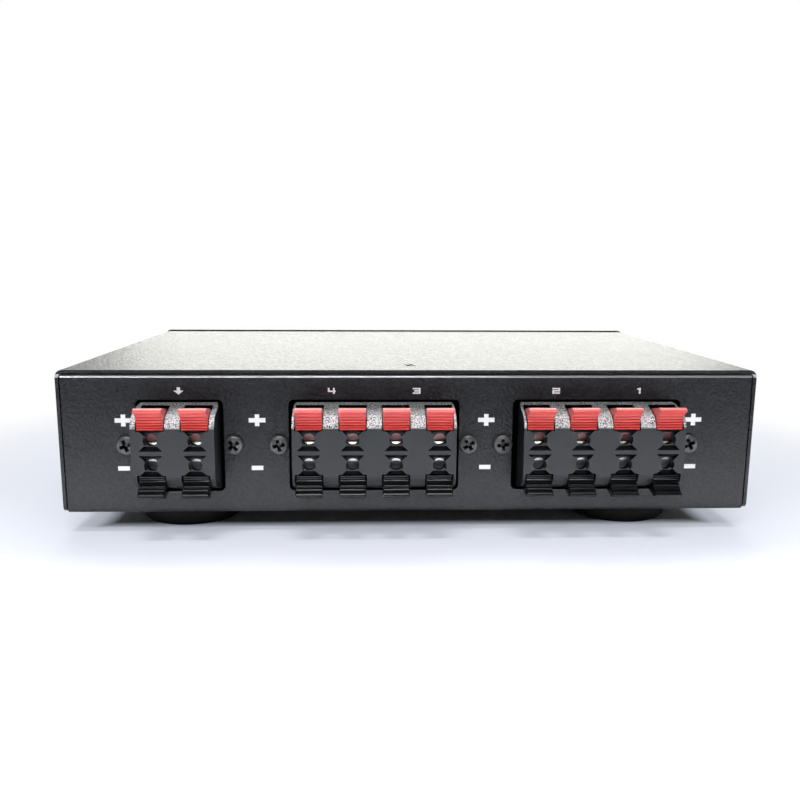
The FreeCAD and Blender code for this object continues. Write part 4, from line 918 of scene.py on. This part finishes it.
class SELECTOR_OT_printing(bpy.types.Operator):
    """Prints the signs, the numbers and the arrow on the terminal panel"""

    bl_idname = "selector.printing"
    bl_label = "Print the panel"

    # where each mark's middle stands on the panel, in mm
    PLUS = ((-85.8, 35.6), (-46.2, 35.6), (22.8, 35.6), (86.4, 35.6))
    MINUS = ((-86.3, 20.9), (-46.4, 20.9), (22.7, 20.9), (86.3, 20.9))
    NUMERALS = (("4", -23.8), ("3", 1.6), ("2", 43.8), ("1", 69.2))
    # each squared numeral as bars of (left, right, low, high), in shares of its height
    BARS = {
        "1": ((-0.06, 0.24, -0.5, 0.5), (-0.36, -0.06, 0.18, 0.42)),
        "2": ((-0.65, 0.65, 0.26, 0.5), (0.35, 0.65, 0.12, 0.26), (-0.65, 0.65, -0.12, 0.12),
              (-0.65, -0.35, -0.26, -0.12), (-0.65, 0.65, -0.5, -0.26)),
        "3": ((-0.65, 0.65, 0.26, 0.5), (0.35, 0.65, 0.12, 0.26), (-0.4, 0.65, -0.12, 0.12),
              (0.35, 0.65, -0.26, -0.12), (-0.65, 0.65, -0.5, -0.26)),
        "4": ((-0.65, -0.35, 0.06, 0.5), (0.2, 0.5, 0.06, 0.5), (-0.65, 0.65, -0.18, 0.06),
              (0.2, 0.5, -0.5, -0.18)),
    }
    # a plain arrow that points down at the input terminals, round its own middle
    ARROW = ((-0.5, 1.1), (0.5, 1.1), (0.5, 0.1), (1.5, 0.1), (0.0, -1.1), (-1.5, 0.1), (-0.5, 0.1))
    ARROW_X = -69.15
    LABEL_Z = 44.5
    # how far the ink reaches into the coat
    SUNK = 0.01

    def flat_piece(self, name, outlines, ink, thickness):
        """A thin printed shape on the panel from outlines of (x, z) points in metres."""
        work = bmesh.new()
        for outline in outlines:
            levels = (PANEL_Y + self.SUNK * MM, PANEL_Y - thickness)
            sweep(work, [[(x, y, z) for x, z in outline] for y in levels])
        piece = keep_mesh(name, work, ink)
        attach(piece, CASE_BODY)

    def execute(self, context):
        sizes = context.scene.selector_print
        ink = speckled_solid("screen_printed_ink", sizes.ink, shade(sizes.ink, 0.93), 0.4, 0.55, 0.004)
        half_w, half_h, s = sizes.plus_width / 2, sizes.plus_height / 2, sizes.stroke / 2
        plus = [(s, s), (half_w, s), (half_w, -s), (s, -s), (s, -half_h), (-s, -half_h)]
        plus += [(-s, -s), (-half_w, -s), (-half_w, s), (-s, s), (-s, half_h), (s, half_h)]
        signs = [[(x * MM + u, z * MM + v) for u, v in plus] for x, z in self.PLUS]
        self.flat_piece("plus_signs", signs, ink, sizes.thickness)
        half_w = sizes.minus_width / 2
        minus = [(half_w, s), (half_w, -s), (-half_w, -s), (-half_w, s)]
        signs = [[(x * MM + u, z * MM + v) for u, v in minus] for x, z in self.MINUS]
        self.flat_piece("minus_signs", signs, ink, sizes.thickness)
        arrow = [(self.ARROW_X * MM + u * MM, self.LABEL_Z * MM + v * MM) for u, v in self.ARROW]
        self.flat_piece("input_arrow", [arrow], ink, sizes.thickness)
        for digit, x in self.NUMERALS:
            tall = sizes.numeral_height
            bars = []
            for left, right, low, high in self.BARS[digit]:
                corners = ((left, low), (right, low), (right, high), (left, high))
                bars.append([(x * MM + u * tall, self.LABEL_Z * MM + v * tall) for u, v in corners])
            self.flat_piece("numeral_" + digit, bars, ink, sizes.thickness)
        return {"FINISHED"}


class SELECTOR_OT_stage(bpy.types.Operator):
    """Sets the floor, the lamps, the world and the camera"""

    bl_idname = "selector.stage"
    bl_label = "Set the stage"

    # in mm and degrees
    CAMERA_PLACE = (-12.63, -302.77, 82.94)
    PITCH, YAW, ROLL = -9.88, -2.24, 0.34
    # to the camera the floor turns from lit to plain white between these distances, in metres
    WHITE_FROM, WHITE_AT = 0.13, 0.24
    # painted light: the shadow near the object is lightened by a share of glow, which grows over a run that
    # starts inside the case, in mm
    LIFT, LIFT_INSIDE, LIFT_RUN = 0.47, 12, 6
    # left, right, front and back of the floor and of the dark sheet of painted shade on it, in metres
    FLOOR = (-4, 4, -4, 4)
    SHADE_SHEET = (-1.2, 1.2, -1.6, -0.205)
    SHADE_SHEET_HEIGHT = 0.002

    def lamp(self, name, place, target, size, watts, tint="FFFFFF", spread_angle=180):
        data = bpy.data.lights.new(name, "AREA")
        data.shape = "RECTANGLE"
        data.size, data.size_y = size
        data.energy = watts
        data.color = linear(tint)[:3]
        data.spread = math.radians(spread_angle)
        light = put(name, data)
        light.location = place
        light.rotation_euler = (Vector(target) - Vector(place)).to_track_quat("-Z", "Y").to_euler()

    def studio(self):
        """A room that is bright behind the object, dim on the camera's side and dark overhead, and
        that the camera and clear plastics see as plain white."""
        world = bpy.data.worlds.new("studio")
        world.use_nodes = True
        tree = world.node_tree
        tree.nodes.clear()
        way = add(tree, "TexCoord", output="Generated")
        y, z = (add(tree, "SeparateXYZ", (way,), axis) for axis in "YZ")
        behind = add(tree, "MapRange", (y, 0.25, 0.9, 0.07, 0.85))
        low_band = add(tree, "MapRange", (z, 0.2, 0.8, 0.05, 0.0))
        level = add(tree, "Math", (behind, low_band), operation="ADD")
        soft = add(tree, "Background", (linear("FAFAF5"), level))
        white = add(tree, "Background", (linear("FFFFFF"), 1.0))
        # metal and gloss mirror the white room behind the object, and the dim side in front of it
        back = add(tree, "MapRange", (y, 0.25, 0.9))
        gloss = add(tree, "LightPath", output="Is Glossy Ray")
        seen = add(tree, "Math", (gloss, back), operation="MULTIPLY")
        for path in ("Is Camera Ray", "Is Transmission Ray"):
            seen = add(tree, "Math", (seen, add(tree, "LightPath", output=path)), operation="MAXIMUM")
        mixed = add(tree, "MixShader", (seen, soft, white))
        add(tree, "OutputWorld", {"Surface": mixed})
        return world

    def sheet(self, name, bounds, height, material):
        """A level rectangle."""
        left, right, front, back = bounds
        work = bmesh.new()
        corners = ((left, front), (right, front), (right, back), (left, back))
        work.faces.new([work.verts.new((x, y, height)) for x, y in corners])
        return keep_mesh(name, work, material)

    def shade_sheet(self):
        """A dull dark sheet on the floor well in front of the object, which stands in for shade on
        the camera's side: the camera doesn't see it, and the top of the panel mirrors it."""
        shade_sheet_finish = speckled_solid("shade_sheet", linear("141416"), linear("1C1C1F"), 2, 0.9)
        piece = self.sheet("shade_sheet", self.SHADE_SHEET, self.SHADE_SHEET_HEIGHT, shade_sheet_finish)
        piece.visible_camera = False

    def tabletop(self, stage):
        """A dull white top. Far from the object it is plain white to the camera, and near it keeps
        the object's shadow, lightened a little by a painted bluish glow except deep under the case."""
        material, tree, shader = new_material(
            "white_tabletop", {"Base Color": stage.floor, "Roughness": 0.8}
        )
        place = add(tree, "TexCoord", output="Object")
        apart = add(tree, "VectorMath", (place,), "Value", operation="LENGTH")
        reach = (apart, self.WHITE_FROM, self.WHITE_AT)
        far = add(tree, "MapRange", reach, interpolation_type="SMOOTHSTEP")
        sides = add(tree, "VectorMath", (place,), operation="ABSOLUTE")
        x, y = (add(tree, "SeparateXYZ", (sides,), axis) for axis in "XY")
        beside = add(tree, "Math", (x, CAD_HIGH.x - self.LIFT_INSIDE * MM), operation="SUBTRACT")
        before = add(tree, "Math", (y, -PANEL_Y - self.LIFT_INSIDE * MM), operation="SUBTRACT")
        outer = add(tree, "Math", (beside, before), operation="MAXIMUM")
        lifted = add(tree, "MapRange", (outer, 0.0, self.LIFT_RUN * MM, 0.0, self.LIFT))
        share = add(tree, "Math", (far, lifted), operation="MAXIMUM")
        seen = add(tree, "LightPath", output="Is Camera Ray")
        share = add(tree, "Math", (share, seen), operation="MULTIPLY")
        # painted light: the glow is bluish near the object and plain white far from it
        pale = add(tree, "Mix", {0: far, 6: linear("E3E9F8"), 7: linear("FFFFFF")}, **COLOURS)
        white = add(tree, "Emission", (pale, 1.0))
        mixed = add(tree, "MixShader", (share, shader.outputs[0], white))
        output = next(node for node in tree.nodes if node.bl_idname == "ShaderNodeOutputMaterial")
        tree.links.new(mixed, output.inputs["Surface"])
        return material

    def camera(self, scene):
        data = bpy.data.cameras.new("camera")
        data.sensor_width = 36.0
        data.lens = 36.0
        data.clip_start = 0.01
        data.clip_end = 20.0
        piece = put("camera", data)
        yaw, pitch, roll = (math.radians(a) for a in (self.YAW, self.PITCH, self.ROLL))
        turn = Matrix.Rotation(yaw, 3, "Z")
        ahead, right, up = (turn @ Vector(v) for v in ((0, 1, 0), (1, 0, 0), (0, 0, 1)))
        look = ahead * math.cos(pitch) + up * math.sin(pitch)
        rise = up * math.cos(pitch) - ahead * math.sin(pitch)
        across = right * math.cos(roll) + rise * math.sin(roll)
        rise = rise * math.cos(roll) - right * math.sin(roll)
        basis = Matrix((across, rise, -look)).transposed()
        piece.matrix_world = Matrix.Translation(Vector(self.CAMERA_PLACE) * MM) @ basis.to_4x4()
        scene.camera = piece

    def execute(self, context):
        scene = context.scene
        stage = scene.selector_stage
        floor = self.sheet("floor", self.FLOOR, 0, self.tabletop(stage))
        scene.world = self.studio()
        self.lamp("top_lamp", (0.0, 0.3, 0.88), (0, 0, 0), (0.8, 0.25), stage.top_light)
        self.lamp("back_lamp", (0.08, 1.1, 0.36), (0, 0, 0.03), (1.1, 0.5), stage.back_light, "FBFBF3")
        self.lamp("window_lamp", (-0.14, -0.85, 0.8), (0, -0.05, 0.02), (0.85, 0.13), stage.front_light)
        # a lamp in a deep hood lights only the tabletop in front, which lights the panel from below
        place = (0, -0.42, 0.6)
        self.lamp("hooded_lamp", place, (0, -0.42, 0), (1.0, 0.2), stage.table_light, spread_angle=60)
        self.shade_sheet()
        self.camera(scene)
        scene.view_settings.view_transform = "Standard"
        return {"FINISHED"}


class SELECTOR_PT_panel(bpy.types.Panel):
    """Lists the pieces of the selector and their sizes"""

    bl_idname = "SELECTOR_PT_panel"
    bl_label = "Speaker selector"
    bl_space_type = "VIEW_3D"
    bl_region_type = "UI"
    bl_category = "Selector"

    def draw(self, context):
        for operator in OPERATORS:
            self.layout.operator(operator.bl_idname)
        for group in GROUPS:
            settings = getattr(context.scene, group)
            for name in settings.bl_rna.properties.keys():
                if name not in {"rna_type", "name"}:
                    self.layout.prop(settings, name)


GROUPS = {
    "selector_case": CaseFinish,
    "selector_block": BlockFinish,
    "selector_lever": LeverSizes,
    "selector_contact": ContactSizes,
    "selector_screw": ScrewSizes,
    "selector_print": PrintSizes,
    "selector_stage": StageSettings,
}
OPERATORS = (
    SELECTOR_OT_case,
    SELECTOR_OT_feet,
    SELECTOR_OT_blocks,
    SELECTOR_OT_levers,
    SELECTOR_OT_contacts,
    SELECTOR_OT_block_screws,
    SELECTOR_OT_cover_screws,
    SELECTOR_OT_inner_screws,
    SELECTOR_OT_electronics,
    SELECTOR_OT_buttons,
    SELECTOR_OT_printing,
    SELECTOR_OT_stage,
)


def register():
    for made in (*GROUPS.values(), *OPERATORS, SELECTOR_PT_panel):
        bpy.utils.register_class(made)
    for name, group in GROUPS.items():
        setattr(bpy.types.Scene, name, bpy.props.PointerProperty(type=group))


def unregister():
    for name in GROUPS:
        delattr(bpy.types.Scene, name)
    for made in (SELECTOR_PT_panel, *reversed(OPERATORS), *reversed(GROUPS.values())):
        bpy.utils.unregister_class(made)


def main():
    register()
    for operator in OPERATORS:
        family, name = operator.bl_idname.split(".")
        getattr(getattr(bpy.ops, family), name)()


if __name__ == "__main__":
    main()
